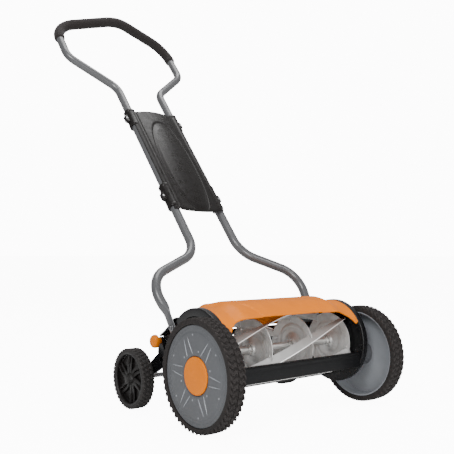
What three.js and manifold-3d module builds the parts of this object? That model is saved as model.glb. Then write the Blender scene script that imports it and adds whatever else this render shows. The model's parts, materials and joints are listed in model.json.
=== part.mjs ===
// Push reel mower. Millimetres: X runs across the mower, -Y is its front, +Z is up.
// "left" is +X and "right" is -X, as seen by the person pushing it.
import * as THREE from 'three';
import { mergeVertices } from 'three/addons/utils/BufferGeometryUtils.js';
import Module from 'manifold-3d';

const wasm = await Module();
wasm.setup();

// ---------------------------------------------------------------- driving dimensions
// Clearances
const GAP = 0.4; // between pieces that touch
const RUN = 1.5; // between pieces that turn past each other

// Main wheels
const WHEEL_RADIUS = 127;
const WHEEL_WIDTH = 43;
const TRACK = 538; // centre to centre of the main wheels
const TYRE_DEPTH = 15; // tread to rim
const RIM_LIP = 3.5;
const WEB_THICKNESS = 8.5;
const WHEEL_FACE_RECESS = 3; // wheel face inside the tyre's outer side
const CAP_RADIUS = 42;
const CAP_THICKNESS = 4;
const HUB_RADIUS = 30;
const HUB_RECESS = 9.5; // hub end inside the tyre's inner side
const RATCHET_TEETH = 12;
const RATCHET_TIP = 22;
const RATCHET_ROOT = 26;
const RATCHET_WIDTH = 6.5;
const PAWL_THICKNESS = 4.5;
const WHEEL_SEGMENTS = 36;

// Sprocket axles and chains
const AXLE_RADIUS = 8;
const CHAIN_PITCH = 6.35;
const AXLE_TEETH = 30;
const REEL_TEETH = 10;
const CHAIN_THICKNESS = 3.2;
const CHAIN_WIDTH = 4;
const SPROCKET_WIDTH = 3;
const TOOTH_RISE = 0.8; // tooth points beyond the pitch circle
const TOOTH_DEPTH = 2.4;
const SPROCKET_CLEARANCE = 2.5; // sprocket from the web and from the carrier

// Reel
const REEL_BEHIND_AXLE = 62;
const REEL_ABOVE_AXLE = 32;
const BLADE_TIP_RADIUS = 84;
const BLADE_COUNT = 5;
const BLADE_CHORD = 23;
const BLADE_THICKNESS = 3;
const BLADE_LEAN = 14; // degrees the root trails the edge
const BLADE_TWIST = 108; // degrees over the blade's length
const BLADE_PHASE = 185.5; // degrees, first blade's edge at mid length
const BLADE_END_GAP = 8; // blade end to the side plate
const DISC_IN = 9; // disc rim inside the blade edges
const DISC_SPREAD = 0.9715; // outer discs' spacing over the blade length
const DISC_COUNT = 4;
const DISC_SHEET = 3;
const DISC_DISH = 5; // the rim lies this far behind the flat ring
const DISC_RIM_SLOPE = 18; // radial width of the sloping rim
const DISC_HUB_RADIUS = 15;
const DISC_HUB_HALF = 9;
const DISC_HUB_SLOPE = 17;
const SHAFT_RADIUS = 8.2;
const SHAFT_END_RADIUS = 6;
const BEARING_RADIUS = 16;
const BEARING_FLANGE = 4;
const BEARING_FLANGE_THICKNESS = 2.8;

// Side plates and the wheel carriers that turn in them
const CASE_MARGIN = 26; // case radius beyond the blade edge
const CASE_CLEARANCE = 3; // wheel carrier to the case face
const SHEET = 3; // steel sheet of the side plates
const CASE_TO_WHEEL = 7.5; // case face to the wheel's inner side
const CARRIER_MARGIN = 21; // carrier inside the case radius
const CARRIER_THICKNESS = 4;
const CARRIER_RIM = 3.5;
const AXLE_BOSS_RADIUS = 17;
const BOLT_BOSS_RADIUS = 13;
const STOP_RADIUS = 3.5;
const STOP_BELOW_BOLT = 8; // along the foot of the handle
const CREST_ANGLE = 50; // where the rear bracket leaves the case at the top
const HEEL_ANGLE = -34; // and at the bottom
const BRACKET_AT_BOLT = [[-1, 24], [36, -8]]; // bracket corners from the handle bolt
const BRACKET_AT_PIVOT = [[2, 60], [24, 40], [26, 8], [14, -17], [-12, -25]]; // and from the pivot
const BRACKET_FLANGE = [-2.2, -3]; // inner side of the turned edge from its outer side

// Front bar, bed knife and tie rod
const FRONT_BAR_HEIGHT = 38;
const FRONT_BAR_DEPTH = 14;
const FRONT_BAR_BELOW_REEL = 23;
const FRONT_BAR_SHEET = 2.5;
const FRONT_BAR_LIP = 9;
const FRONT_BAR_ROLL = 5;
const KNIFE_DEPTH = 32;
const KNIFE_THICKNESS = 3;
const KNIFE_LEAD = 4; // knife edge ahead of the reel axis
const KNIFE_BAR_THICKNESS = 5;
const KNIFE_BAR_UPSTAND = 15;
const KNIFE_BAR_RANGE = [6, 54]; // front and back of the bar, from the reel axis
const TIE_RADIUS = 8;
const TIE_CLEARANCE = 5; // tie rod to the blade edge circle
const TIE_ANGLE = 20;

// Rear carriage
const REAR_WHEEL_RADIUS = 76;
const REAR_WHEEL_WIDTH = 33;
const REAR_TRACK_IN = 14; // rear track narrower than the main one
const WHEELBASE = 299;
const PIVOT_PLACE = { outside: 42.411, angle: -10.204 }; // outside the case, about the reel axis
const PIVOT_TUBE_RADIUS = 9;
const REAR_AXLE_RADIUS = 6;
const PIVOT_TUBE_WALL = 2;
const ARM_THICKNESS = 6;
const ARM_CLEARANCE = 4; // arm to the side plate
const ARM_END_RADII = [19, 13, 16, 8, 10]; // pivot, axle, pin root, pin and knob ends
const LINK_THICKNESS = 3;
const LINK_PIN_RADIUS = 3.5;
const LINK_END_RADIUS = 8;
const LINK_CLEARANCE = 0.6; // link to the case face
const OPEN_PIVOT_CLEARANCE = 1; // round the carrier pin, where the linkage is opened
const DETENT_RADIUS = 3.4;
const PLUNGER_RADIUS = 3;
const KNOB_STEM_RADIUS = 7;
const KNOB_LENGTH = 14;
const KNOB_OUT = 2; // back of the knob outside the rear wheel's inner side
const REAR_RIM_DEPTH = 14;
const REAR_HUB_RADIUS = 15;
const REAR_SPOKES = 6;
const REAR_CAP = { radius: 12, thickness: 4.5 };
const CARRIER_PIN = { radius: 33.4, angle: 174.9 }; // about the reel axis
const ARM_PIN = { radius: 30, angle: 166.2 }; // about the carriage pivot
const KNOB_RADIUS = 16.5;
const KNOB_ARM = { radius: 45.3, angle: 83.7 }; // about the carriage pivot
const HEIGHT_STEPS = [-16, -8, 0, 9, 18, 26]; // degrees of the detent holes

// Chute
const CHUTE_THICKNESS = 3;
const CHUTE_SUNK = 4.5; // chute ends inside the case radius
const CHUTE_SHOULDER = [66, 30]; // where the raised middle falls away, in from the chute's end
const CHUTE_RISE = 14.3; // raised middle above the ends
const CHUTE_BACK_ANGLE = 20; // degrees about the reel axis, 90 is straight up
const CHUTE_CORNER_ANGLE = 78; // back corners stop here
const CHUTE_CORNER = [40, 8]; // width of the step to the corners, in from the chute's end
const CHUTE_FRONT_ANGLE = 132;
const CHUTE_EAR_ANGLE = 148.5;
const CHUTE_EAR = [54, 12]; // front edge turns down between these, in from the chute's end

// Handle
const TUBE_RADIUS = 12.7;
const TUBE_BORE = 11.2;
const GRIP_RADIUS = 17;
const GRIP_BORE = 14.1;
const HANDLE_SLOPE = 51.1; // degrees from level
const FOOT_SLOPE = 56;
const FOOT_WIDTH = 13; // half width of the flattened tube end
const FOOT_HALF_THICKNESS = 3.2;
const FOOT_CLEARANCE = 0.7; // foot to the case face
const FOOT_FLAT = [38, 68]; // flat up to the first, round from the second, along the foot
const FOOT_TAIL = 20; // tube below its bolt
const FOOT_BEND = 44; // start of the outward bend, along the foot
const BEND_RADII = { foot: 30, elbow: 78, loop: 60, head: 72, crown: 150 };
const BOLT_PLACE = { inside: 3.468, angle: 32.347 }; // inside the case radius, about the reel axis
const BOLT_RADIUS = 5;
const BOLT_HEAD = { radius: 9, thickness: 4.5 };
const BOLT_TAIL = 6; // bolt past the side plate's inner face
const ELBOW_OUT = 19; // elbow outboard of the bolt
const ELBOW_UP = 137; // along the foot from bolt to elbow
const NECK_HALF_WIDTH = 79; // straight tubes beside the panel
const NECK_RISE = 85; // elbow to neck, along the slope
const NECK_LENGTH = 678;
const LOOP_HALF_WIDTH = 217;
const LOOP_FLARE = 124; // along the slope while the tubes spread
const LOOP_SIDE = 158; // straight side of the loop
const LOOP_CROWN = 55; // rise of the cross grip to its middle
const LOOP_CROWN_FORWARD = 30;
const GRIP_START = 80; // along the loop side from the spread

// Panel between the straight tubes
const PANEL_START = 150; // along the neck, at the panel's edges
const PANEL_END = NECK_LENGTH - 133;
const PANEL_BOTTOM_BOW = 16;
const PANEL_TOP_BOW = 12;
const PANEL_THICKNESS = 2.6;
const PANEL_WRAP = 7.5; // flange past each tube's centre line
const PANEL_CROWN = 4; // middle of the panel above its edge ridges
const PAD = { x: -2, from: 137, to: NECK_LENGTH - 185, halfWidth: 52, rise: 3 };
const COLLARS = [[162, 246], [NECK_LENGTH - 182, NECK_LENGTH - 116]]; // along the neck
const COLLAR_RADIUS = 18;
const EAR = { width: 13, length: 24, thickness: 6 };

// ---------------------------------------------------------------- derived places
const radians = THREE.MathUtils.degToRad;
const AXLE_HEIGHT = WHEEL_RADIUS;
const RIM_RADIUS = WHEEL_RADIUS - TYRE_DEPTH;
const REAR_TRACK = TRACK - REAR_TRACK_IN;
const REEL_Y = REEL_BEHIND_AXLE;
const REEL_Z = AXLE_HEIGHT + REEL_ABOVE_AXLE;
const WHEEL_INNER = (TRACK - WHEEL_WIDTH) / 2;
const CASE_FACE = WHEEL_INNER - CASE_TO_WHEEL;
const CASE_STACK = SHEET + 2 * SPROCKET_CLEARANCE + SPROCKET_WIDTH + CARRIER_THICKNESS;
const CASE_INNER = CASE_FACE - CASE_STACK - CASE_CLEARANCE;
const CASE_RADIUS = BLADE_TIP_RADIUS + CASE_MARGIN;
const CARRIER_RADIUS = CASE_RADIUS - CARRIER_MARGIN;
const WEB_FACE = CASE_INNER + SHEET;
const SPROCKET_X = WEB_FACE + SPROCKET_CLEARANCE;
const CARRIER_X = SPROCKET_X + SPROCKET_WIDTH + SPROCKET_CLEARANCE;
const CARRIER_FACE = CARRIER_X + CARRIER_THICKNESS;
const ARM_X = WEB_FACE + ARM_CLEARANCE;
const ARM_FACE = ARM_X + ARM_THICKNESS;
const LINK_X = CASE_FACE + LINK_CLEARANCE;
const LINK_PIN_END = LINK_X + LINK_THICKNESS + 1;
const BLADE_LENGTH = 2 * (CASE_INNER - BLADE_END_GAP);
const DISC_RADIUS = BLADE_TIP_RADIUS - DISC_IN;
const DISC_SPACING = (DISC_SPREAD * BLADE_LENGTH) / (DISC_COUNT - 1);
const JOINT_FROM_NECK = (COLLARS[0][0] + COLLARS[0][1]) / 2; // upper loop onto lower tubes
const CUT = 1; // how far a cutting tool passes a face

// ---------------------------------------------------------------- materials
function finish(color, roughness, metalness) {
  return new THREE.MeshStandardMaterial({ color, roughness, metalness });
}
const blackPaint = finish(0x19191b, 0.35, 0.1);
const blackPlastic = finish(0x242326, 0.5, 0);
const orangePlastic = finish(0xf28a26, 0.42, 0);
const greyPlastic = finish(0x6a6d70, 0.5, 0);
const greyPaint = finish(0x6b6c6e, 0.4, 0.3);
const satinSteel = finish(0xa9a8a5, 0.42, 0.9);
const groundSteel = finish(0xdad8d4, 0.25, 1);
const darkSteel = finish(0x55565a, 0.4, 0.9);
const tyreRubber = finish(0x1e1d1f, 0.85, 0);
const foam = finish(0x2b2a2c, 0.95, 0);

// ---------------------------------------------------------------- geometry helpers
// Bare closed mesh with shared vertices, faces turned outwards.
function closed(geometry) {
  const bare = geometry.clone();
  bare.deleteAttribute('normal');
  bare.deleteAttribute('uv');
  const merged = mergeVertices(bare, 1e-4);
  const place = merged.attributes.position;
  const index = merged.index.array;
  const corners = [new THREE.Vector3(), new THREE.Vector3(), new THREE.Vector3()];
  const kept = [];
  let volume = 0;
  for (let i = 0; i < index.length; i += 3) {
    const [a, b, c] = [index[i], index[i + 1], index[i + 2]];
    if (a === b || b === c || c === a) continue;
    kept.push(a, b, c);
    [a, b, c].forEach((vertex, corner) => corners[corner].fromBufferAttribute(place, vertex));
    volume += corners[0].dot(corners[1].cross(corners[2]));
  }
  if (volume < 0) {
    for (let i = 0; i < kept.length; i += 3) [kept[i], kept[i + 1]] = [kept[i + 1], kept[i]];
  }
  merged.setIndex(kept);
  return merged;
}

function solid(geometry) {
  const bare = closed(geometry);
  const vertProperties = new Float32Array(bare.attributes.position.array);
  const triVerts = new Uint32Array(bare.index.array);
  return new wasm.Manifold(new wasm.Mesh({ numProp: 3, vertProperties, triVerts }));
}

function surface(manifold) {
  const mesh = manifold.getMesh();
  const geometry = new THREE.BufferGeometry();
  geometry.setAttribute('position', new THREE.BufferAttribute(mesh.vertProperties, 3));
  geometry.setIndex(new THREE.BufferAttribute(mesh.triVerts, 1));
  return geometry;
}

function join(...geometries) {
  return surface(geometries.map(solid).reduce((all, next) => all.add(next)));
}

function cut(base, ...tools) {
  return surface(tools.map(solid).reduce((left, tool) => left.subtract(tool), solid(base)));
}

// Ring or disc turned about the X axis from [x, radius] corners.
function turned(profile, segments) {
  const onAxis = profile[0][1] === 0;
  const corners = onAxis ? profile : [...profile, profile[0]];
  const points = corners.map(([x, radius]) => new THREE.Vector2(radius, x));
  return new THREE.LatheGeometry(points, segments).rotateZ(-Math.PI / 2);
}

// Round bar about the X axis from x0 to x1, centred on (y, z).
function bar(radius, x0, x1, y = 0, z = 0, segments = 18) {
  const profile = [[x0, 0], [x0, radius], [x1, radius], [x1, 0]];
  return turned(profile, segments).translate(0, y, z);
}

// Plate of a flat (y, z) outline from x0 to x1.
function plate(shape, x0, x1, curveSegments = 8) {
  const options = { depth: x1 - x0, bevelEnabled: false, curveSegments };
  const yzx = new THREE.Matrix4().makeBasis(
    new THREE.Vector3(0, 1, 0),
    new THREE.Vector3(0, 0, 1),
    new THREE.Vector3(1, 0, 0),
  );
  return new THREE.ExtrudeGeometry(shape, options).applyMatrix4(yzx).translate(x0, 0, 0);
}

function polygon(points) {
  return new THREE.Shape(points.map(([a, b]) => new THREE.Vector2(a, b)));
}

// Outline of a strap drawn round two circles, given as [y, z, radius].
function strap([ay, az, ar], [by, bz, br], steps = 12) {
  const along = Math.atan2(bz - az, by - ay);
  const lean = Math.acos((ar - br) / Math.hypot(by - ay, bz - az));
  const points = [];
  for (let i = 0; i <= steps; i += 1) {
    const angle = along + lean + ((2 * Math.PI - 2 * lean) * i) / steps;
    points.push([ay + ar * Math.cos(angle), az + ar * Math.sin(angle)]);
  }
  for (let i = 0; i <= steps; i += 1) {
    const angle = along - lean + (2 * lean * i) / steps;
    points.push([by + br * Math.cos(angle), bz + br * Math.sin(angle)]);
  }
  return polygon(points);
}

function polar(radius, degrees) {
  return [radius * Math.cos(radians(degrees)), radius * Math.sin(radians(degrees))];
}

// Box whose (u, v, w) corners, each 0 to 1, are moved to map(u, v, w).
function bentBox(nu, nv, nw, map) {
  const geometry = new THREE.BoxGeometry(1, 1, 1, nu, nv, nw);
  const place = geometry.attributes.position;
  for (let i = 0; i < place.count; i += 1) {
    const [u, v, w] = [place.getX(i) + 0.5, place.getY(i) + 0.5, place.getZ(i) + 0.5];
    place.setXYZ(i, ...map(u, v, w));
  }
  return geometry;
}

const FAR_FACE = 5; // group of a BoxGeometry that faces -z

// Gives the far face of a bent sheet the diagonals of its near face, so the two stay parallel.
function matchDiagonals(sheet) {
  const { start, count } = sheet.groups[FAR_FACE];
  const corners = sheet.index;
  for (let i = start; i < start + count; i += 6) {
    corners.setX(i + 2, corners.getX(i + 4));
    corners.setX(i + 3, corners.getX(i));
  }
  return sheet;
}

function smooth(value, from, to) {
  return THREE.MathUtils.smoothstep(value, Math.min(from, to), Math.max(from, to));
}

// ---------------------------------------------------------------- assembly helpers
const mower = new THREE.Group();

function groupAt(parent, x, y, z) {
  const group = new THREE.Group();
  group.position.set(x, y, z);
  parent.add(group);
  return group;
}

function add(group, name, geometry, material) {
  const mesh = new THREE.Mesh(closed(geometry), material);
  mesh.name = name;
  group.add(mesh);
}

const SIDES = [['left', 1], ['right', -1]];

function sided(geometry, sign) {
  return sign < 0 ? geometry.clone().scale(-1, 1, 1) : geometry;
}

// Toothed outline of a small sprocket.
function sprocketShape(teeth, tip) {
  const points = [];
  for (let i = 0; i < 2 * teeth; i += 1) {
    const radius = i % 2 ? tip : tip - TOOTH_DEPTH;
    points.push(polar(radius, (180 * i) / teeth));
  }
  return polygon(points);
}

function pitchRadius(teeth) {
  return CHAIN_PITCH / (2 * Math.sin(Math.PI / teeth));
}

// ---------------------------------------------------------------- main wheels
function tyre() {
  const half = WHEEL_WIDTH / 2;
  const seat = RIM_RADIUS + GAP;
  const [bead, shoulder, crown] = [3, 6, 0.6];
  return turned([
    [-half + bead / 2, seat],
    [-half, seat + bead],
    [-half, WHEEL_RADIUS - shoulder],
    [-half + shoulder, WHEEL_RADIUS - crown],
    [0, WHEEL_RADIUS],
    [half - shoulder, WHEEL_RADIUS - crown],
    [half, WHEEL_RADIUS - shoulder],
    [half, seat + bead],
    [half - bead / 2, seat],
  ], WHEEL_SEGMENTS);
}

const WHEEL_FACE = WHEEL_WIDTH / 2 - WHEEL_FACE_RECESS;
const CAP_SEAT = WHEEL_FACE - CAP_THICKNESS;
const HUB_INNER = -WHEEL_WIDTH / 2 + HUB_RECESS;

function wheel() {
  const back = WHEEL_FACE - WEB_THICKNESS;
  const rimInner = -WHEEL_WIDTH / 2 + 2.5;
  const [step, ring] = [1.5, 16]; // outer ring of the face, set back by the step
  const pocket = CAP_RADIUS + 2;
  return turned([
    [HUB_INNER, AXLE_RADIUS + GAP],
    [HUB_INNER, HUB_RADIUS],
    [back, HUB_RADIUS],
    [back, RIM_RADIUS - 2 * RIM_LIP],
    [rimInner, RIM_RADIUS - RIM_LIP],
    [rimInner, RIM_RADIUS],
    [WHEEL_FACE - step, RIM_RADIUS],
    [WHEEL_FACE - step, RIM_RADIUS - ring],
    [WHEEL_FACE, RIM_RADIUS - ring - step],
    [WHEEL_FACE, pocket],
    [CAP_SEAT, pocket],
    [CAP_SEAT, AXLE_RADIUS + GAP],
  ], WHEEL_SEGMENTS);
}

function hubCap() {
  const seat = CAP_SEAT + GAP;
  return turned([
    [seat, 0],
    [seat, CAP_RADIUS],
    [WHEEL_FACE, CAP_RADIUS],
    [WHEEL_FACE + 0.45 * CAP_THICKNESS, CAP_RADIUS - CAP_THICKNESS],
    [WHEEL_FACE + 0.6 * CAP_THICKNESS, 0],
  ], WHEEL_SEGMENTS);
}

// Ring with inner ratchet teeth on the wheel's hub.
function ratchetRing() {
  const outline = new THREE.Shape().absarc(0, 0, HUB_RADIUS, 0, 2 * Math.PI);
  const teeth = [];
  const pitch = 360 / RATCHET_TEETH;
  for (let i = 0; i < RATCHET_TEETH; i += 1) {
    teeth.push(polar(RATCHET_TIP, pitch * i), polar(RATCHET_ROOT, pitch * (i + 0.13)));
    teeth.push(polar(RATCHET_ROOT, pitch * (i + 0.8)));
  }
  outline.holes.push(new THREE.Path(teeth.map(([a, b]) => new THREE.Vector2(a, b))));
  return plate(outline, HUB_INNER - GAP - RATCHET_WIDTH, HUB_INNER - GAP, 16);
}

// Plate on the sprocket axle that carries two pawls.
function pawlPlate(reach) {
  const [boss, root, nose, lean] = [AXLE_RADIUS + 5, 7, 2, 14];
  const outer = HUB_INNER - 1.5;
  const inner = outer - PAWL_THICKNESS;
  const pawls = [0, 180].map((turn) => {
    const tip = polar(reach - nose, turn + lean);
    return plate(strap([0, 0, root], [...tip, nose], 4), inner, outer);
  });
  return cut(join(bar(boss, inner, outer), ...pawls), bar(AXLE_RADIUS + GAP, inner - CUT, outer + CUT));
}

// Axle with the chain sprocket at its inner end, in the wheel's own frame.
function sprocketAxle() {
  const inner = WEB_FACE + RUN - TRACK / 2;
  const sprocket = SPROCKET_X - TRACK / 2;
  const outline = sprocketShape(AXLE_TEETH, pitchRadius(AXLE_TEETH) + TOOTH_RISE);
  const teeth = plate(outline, sprocket, sprocket + SPROCKET_WIDTH);
  return join(bar(AXLE_RADIUS, inner, CAP_SEAT - 1), teeth);
}

for (const [side, sign] of SIDES) {
  const group = groupAt(mower, (sign * TRACK) / 2, 0, AXLE_HEIGHT);
  const pawlReach = (sign > 0 ? RATCHET_ROOT : RATCHET_TIP) - RUN;
  add(group, `tyre_${side}`, sided(tyre(), sign), tyreRubber);
  add(group, `wheel_${side}`, sided(wheel(), sign), greyPlastic);
  add(group, `hub_cap_${side}`, sided(hubCap(), sign), orangePlastic);
  add(group, `ratchet_ring_${side}`, sided(ratchetRing(), sign), darkSteel);
  add(group, `pawl_plate_${side}`, sided(pawlPlate(pawlReach), sign), darkSteel);
  add(group, `sprocket_axle_${side}`, sided(sprocketAxle(), sign), darkSteel);
}

// ---------------------------------------------------------------- reel
function edgeAngle(x, blade) {
  return BLADE_PHASE - (BLADE_TWIST * x) / BLADE_LENGTH + (360 * blade) / BLADE_COUNT;
}

// Helical strip. Its outer face ends in the cutting edge and its root sits in the discs.
function bladeStrip(blade, thickness, overhang) {
  const root = BLADE_TIP_RADIUS - Math.sqrt(BLADE_CHORD ** 2 / 2);
  return bentBox(20, 1, 1, (u, v, w) => {
    const x = (u - 0.5) * BLADE_LENGTH;
    const angle = edgeAngle(x, blade);
    const [tipY, tipZ] = polar(BLADE_TIP_RADIUS - 0.3, angle);
    const [rootY, rootZ] = polar(root, angle - BLADE_LEAN);
    const chord = Math.hypot(tipY - rootY, tipZ - rootZ);
    const [alongY, alongZ] = [(tipY - rootY) / chord, (tipZ - rootZ) / chord];
    const reach = v * (chord + 2 * overhang) - overhang;
    const side = w * thickness - overhang;
    const y = rootY + alongY * reach - alongZ * side;
    return [x, y, rootZ + alongZ * reach + alongY * side];
  });
}

// Dished disc with a hub collar, notched for the blades.
function reelDisc(x) {
  const bore = SHAFT_RADIUS + GAP;
  const flat = DISC_DISH - 0.5;
  const shoulder = DISC_HUB_RADIUS + DISC_HUB_SLOPE;
  const disc = turned([
    [-DISC_HUB_HALF, bore],
    [-DISC_HUB_HALF, DISC_HUB_RADIUS],
    [flat - 2 * DISC_SHEET, DISC_HUB_RADIUS],
    [flat, shoulder],
    [flat, DISC_RADIUS - DISC_RIM_SLOPE - 1],
    [flat - DISC_DISH, DISC_RADIUS],
    [flat - DISC_DISH + DISC_SHEET, DISC_RADIUS],
    [flat + DISC_SHEET, DISC_RADIUS - DISC_RIM_SLOPE],
    [flat + DISC_SHEET, shoulder - 1],
    [DISC_HUB_HALF, DISC_HUB_RADIUS - 1],
    [DISC_HUB_HALF, bore],
  ], 20).translate(x, 0, 0);
  const notches = [];
  for (let blade = 0; blade < BLADE_COUNT; blade += 1) {
    notches.push(bladeStrip(blade, BLADE_THICKNESS + 2 * GAP, GAP));
  }
  return cut(disc, ...notches);
}

function reelShaft() {
  const half = WEB_FACE;
  const tip = CARRIER_FACE + 1;
  return turned([
    [-tip, 0],
    [-tip, SHAFT_END_RADIUS],
    [-half, SHAFT_END_RADIUS],
    [-half, SHAFT_RADIUS],
    [half, SHAFT_RADIUS],
    [half, SHAFT_END_RADIUS],
    [tip, SHAFT_END_RADIUS],
    [tip, 0],
  ], 24);
}

function reelSprocket() {
  const outline = sprocketShape(REEL_TEETH, pitchRadius(REEL_TEETH) + TOOTH_RISE);
  const [x0, x1] = [SPROCKET_X, SPROCKET_X + SPROCKET_WIDTH];
  return cut(plate(outline, x0, x1), bar(SHAFT_END_RADIUS + GAP, x0 - CUT, x1 + CUT));
}

const reel = groupAt(mower, 0, REEL_Y, REEL_Z);
add(reel, 'reel_shaft', reelShaft(), satinSteel);
for (let i = 0; i < DISC_COUNT; i += 1) {
  const x = (i - (DISC_COUNT - 1) / 2) * DISC_SPACING;
  add(reel, `reel_disc_${i + 1}`, reelDisc(x), satinSteel);
}
for (let i = 0; i < BLADE_COUNT; i += 1) {
  add(reel, `reel_blade_${i + 1}`, bladeStrip(i, BLADE_THICKNESS, 0), groundSteel);
}
for (const [side, sign] of SIDES) {
  add(reel, `reel_sprocket_${side}`, sided(reelSprocket(), sign), darkSteel);
}

// ---------------------------------------------------------------- wheel carriers and chains
// Round carrier that turns in the side plate and holds the sprocket axle.
function wheelCarrier() {
  const [axleY, axleZ] = [-REEL_BEHIND_AXLE, -REEL_ABOVE_AXLE];
  const [pinY, pinZ] = polar(CARRIER_PIN.radius, CARRIER_PIN.angle);
  const face = CARRIER_FACE;
  const disc = turned([
    [CARRIER_X, SHAFT_END_RADIUS + GAP],
    [CARRIER_X, CARRIER_RADIUS],
    [face + 2, CARRIER_RADIUS],
    [face + 2, CARRIER_RADIUS - CARRIER_RIM],
    [face, CARRIER_RADIUS - 1.4 * CARRIER_RIM],
    [face, SHAFT_END_RADIUS + GAP],
  ], WHEEL_SEGMENTS);
  const boss = bar(AXLE_BOSS_RADIUS, CARRIER_X, WHEEL_INNER - RUN, axleY, axleZ);
  const pin = bar(LINK_PIN_RADIUS, face - 1, LINK_PIN_END, pinY, pinZ, 16);
  const bore = bar(AXLE_RADIUS + GAP, CARRIER_X - CUT, WHEEL_INNER, axleY, axleZ);
  return cut(join(disc, boss, pin), bore);
}

// Closed run of roller chain round both sprockets.
function chain() {
  const inner = TOOTH_RISE + GAP;
  const outer = inner + CHAIN_THICKNESS;
  const axle = [-REEL_BEHIND_AXLE, -REEL_ABOVE_AXLE];
  const run = (offset) => strap([...axle, pitchRadius(AXLE_TEETH) + offset],
    [0, 0, pitchRadius(REEL_TEETH) + offset]);
  const start = SPROCKET_X + (SPROCKET_WIDTH - CHAIN_WIDTH) / 2;
  const end = start + CHAIN_WIDTH;
  return cut(plate(run(outer), start, end), plate(run(inner), start - CUT, end + CUT));
}

const carriers = groupAt(mower, 0, REEL_Y, REEL_Z);
for (const [side, sign] of SIDES) {
  add(carriers, `wheel_carrier_${side}`, sided(wheelCarrier(), sign), blackPlastic);
  add(carriers, `chain_${side}`, sided(chain(), sign), darkSteel);
}

// ---------------------------------------------------------------- chassis
const chassis = groupAt(mower, 0, REEL_Y, REEL_Z);
const PIVOT = polar(CASE_RADIUS + PIVOT_PLACE.outside, PIVOT_PLACE.angle); // from the reel axis
const [PIVOT_Y, PIVOT_Z] = [REEL_Y + PIVOT[0], REEL_Z + PIVOT[1]];
const BOLT = polar(CASE_RADIUS - BOLT_PLACE.inside, BOLT_PLACE.angle);
const FOOT = polar(1, FOOT_SLOPE);
const STOP_ASIDE = FOOT_WIDTH + GAP + STOP_RADIUS;
const STOP = [
  BOLT[0] - STOP_BELOW_BOLT * FOOT[0] - STOP_ASIDE * FOOT[1],
  BOLT[1] - STOP_BELOW_BOLT * FOOT[1] + STOP_ASIDE * FOOT[0],
];

// Pressed side plate: web, round case rim, rear bracket, handle boss and stop pin.
function sidePlate(withDetents) {
  const [pivotY, pivotZ] = PIVOT;
  const [boltY, boltZ] = BOLT;
  const byBolt = BRACKET_AT_BOLT.map(([y, z]) => [boltY + y, boltZ + z]);
  const byPivot = BRACKET_AT_PIVOT.map(([y, z]) => [pivotY + y, pivotZ + z]);
  const crest = polar(CASE_RADIUS - 1, CREST_ANGLE);
  const bracket = [[0, 0], crest, ...byBolt, ...byPivot, polar(CASE_RADIUS - 1, HEEL_ANGLE)].reverse();
  const turnedEdge = [crest, ...byBolt, byPivot[0]];
  const innerEdge = turnedEdge.map(([y, z]) => [y + BRACKET_FLANGE[0], z + BRACKET_FLANGE[1]]);
  const flange = [...turnedEdge, ...innerEdge.reverse()];
  const pan = turned([
    [CASE_INNER, BEARING_RADIUS + GAP],
    [CASE_INNER, CASE_RADIUS],
    [CASE_FACE - 2, CASE_RADIUS],
    [CASE_FACE, CASE_RADIUS - 2.5],
    [CASE_FACE, CARRIER_RADIUS + RUN],
    [CASE_FACE - SHEET, CARRIER_RADIUS + RUN],
    [CASE_FACE - SHEET, CASE_RADIUS - SHEET],
    [WEB_FACE, CASE_RADIUS - SHEET],
    [WEB_FACE, BEARING_RADIUS + GAP],
  ], 36);
  const body = join(
    pan,
    plate(polygon(bracket), CASE_INNER, WEB_FACE),
    plate(polygon(flange), CASE_INNER, CASE_FACE),
    bar(BOLT_BOSS_RADIUS, WEB_FACE - 1, CASE_FACE, boltY, boltZ),
    bar(STOP_RADIUS, CASE_FACE - 1, CASE_FACE + 2 * FOOT_HALF_THICKNESS, STOP[0], STOP[1], 16),
  );
  const [before, past] = [CASE_INNER - CUT, WEB_FACE + CUT];
  const holes = [
    bar(BEARING_RADIUS + GAP, before, past),
    bar(PIVOT_TUBE_RADIUS + GAP, before, past, pivotY, pivotZ),
    bar(BOLT_RADIUS + GAP, before, CASE_FACE + CUT, boltY, boltZ),
  ];
  if (withDetents) {
    for (const step of HEIGHT_STEPS) {
      const [y, z] = polar(KNOB_ARM.radius, KNOB_ARM.angle + step);
      holes.push(bar(DETENT_RADIUS, before, past, pivotY + y, pivotZ + z, 10));
    }
  }
  return cut(body, ...holes);
}

function reelBearing() {
  const bore = SHAFT_RADIUS + GAP;
  const seat = CASE_INNER - GAP;
  const [start, end] = [seat - BEARING_FLANGE_THICKNESS, WEB_FACE - GAP];
  return turned([
    [start, bore],
    [start, BEARING_RADIUS + BEARING_FLANGE],
    [seat, BEARING_RADIUS + BEARING_FLANGE],
    [seat, BEARING_RADIUS],
    [end, BEARING_RADIUS],
    [end, bore],
  ], 24);
}

for (const [side, sign] of SIDES) {
  add(chassis, `side_plate_${side}`, sided(sidePlate(sign < 0), sign), blackPaint);
  add(chassis, `reel_bearing_${side}`, sided(reelBearing(), sign), darkSteel);
}

const SPAN = CASE_INNER - GAP; // half the clear width between the side plates

// Pressed channel across the front, rolled over at its top.
function frontBar() {
  const back = -BLADE_TIP_RADIUS - 1;
  const front = back - FRONT_BAR_DEPTH;
  const top = -FRONT_BAR_BELOW_REEL;
  const foot = top - FRONT_BAR_HEIGHT;
  const [sheet, lip, roll] = [FRONT_BAR_SHEET, FRONT_BAR_LIP, FRONT_BAR_ROLL];
  const outer = [[back, top], [front + roll, top], [front + 0.3 * roll, top - 0.4 * roll],
    [front, top - 1.2 * roll], [front, foot], [front + lip, foot]];
  const inner = [[front + lip, foot + sheet], [front + sheet, foot + sheet],
    [front + sheet, top - 1.3 * roll], [front + 1.1 * roll, top - sheet], [back, top - sheet]];
  return plate(polygon([...outer, ...inner]), -SPAN, SPAN);
}

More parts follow.
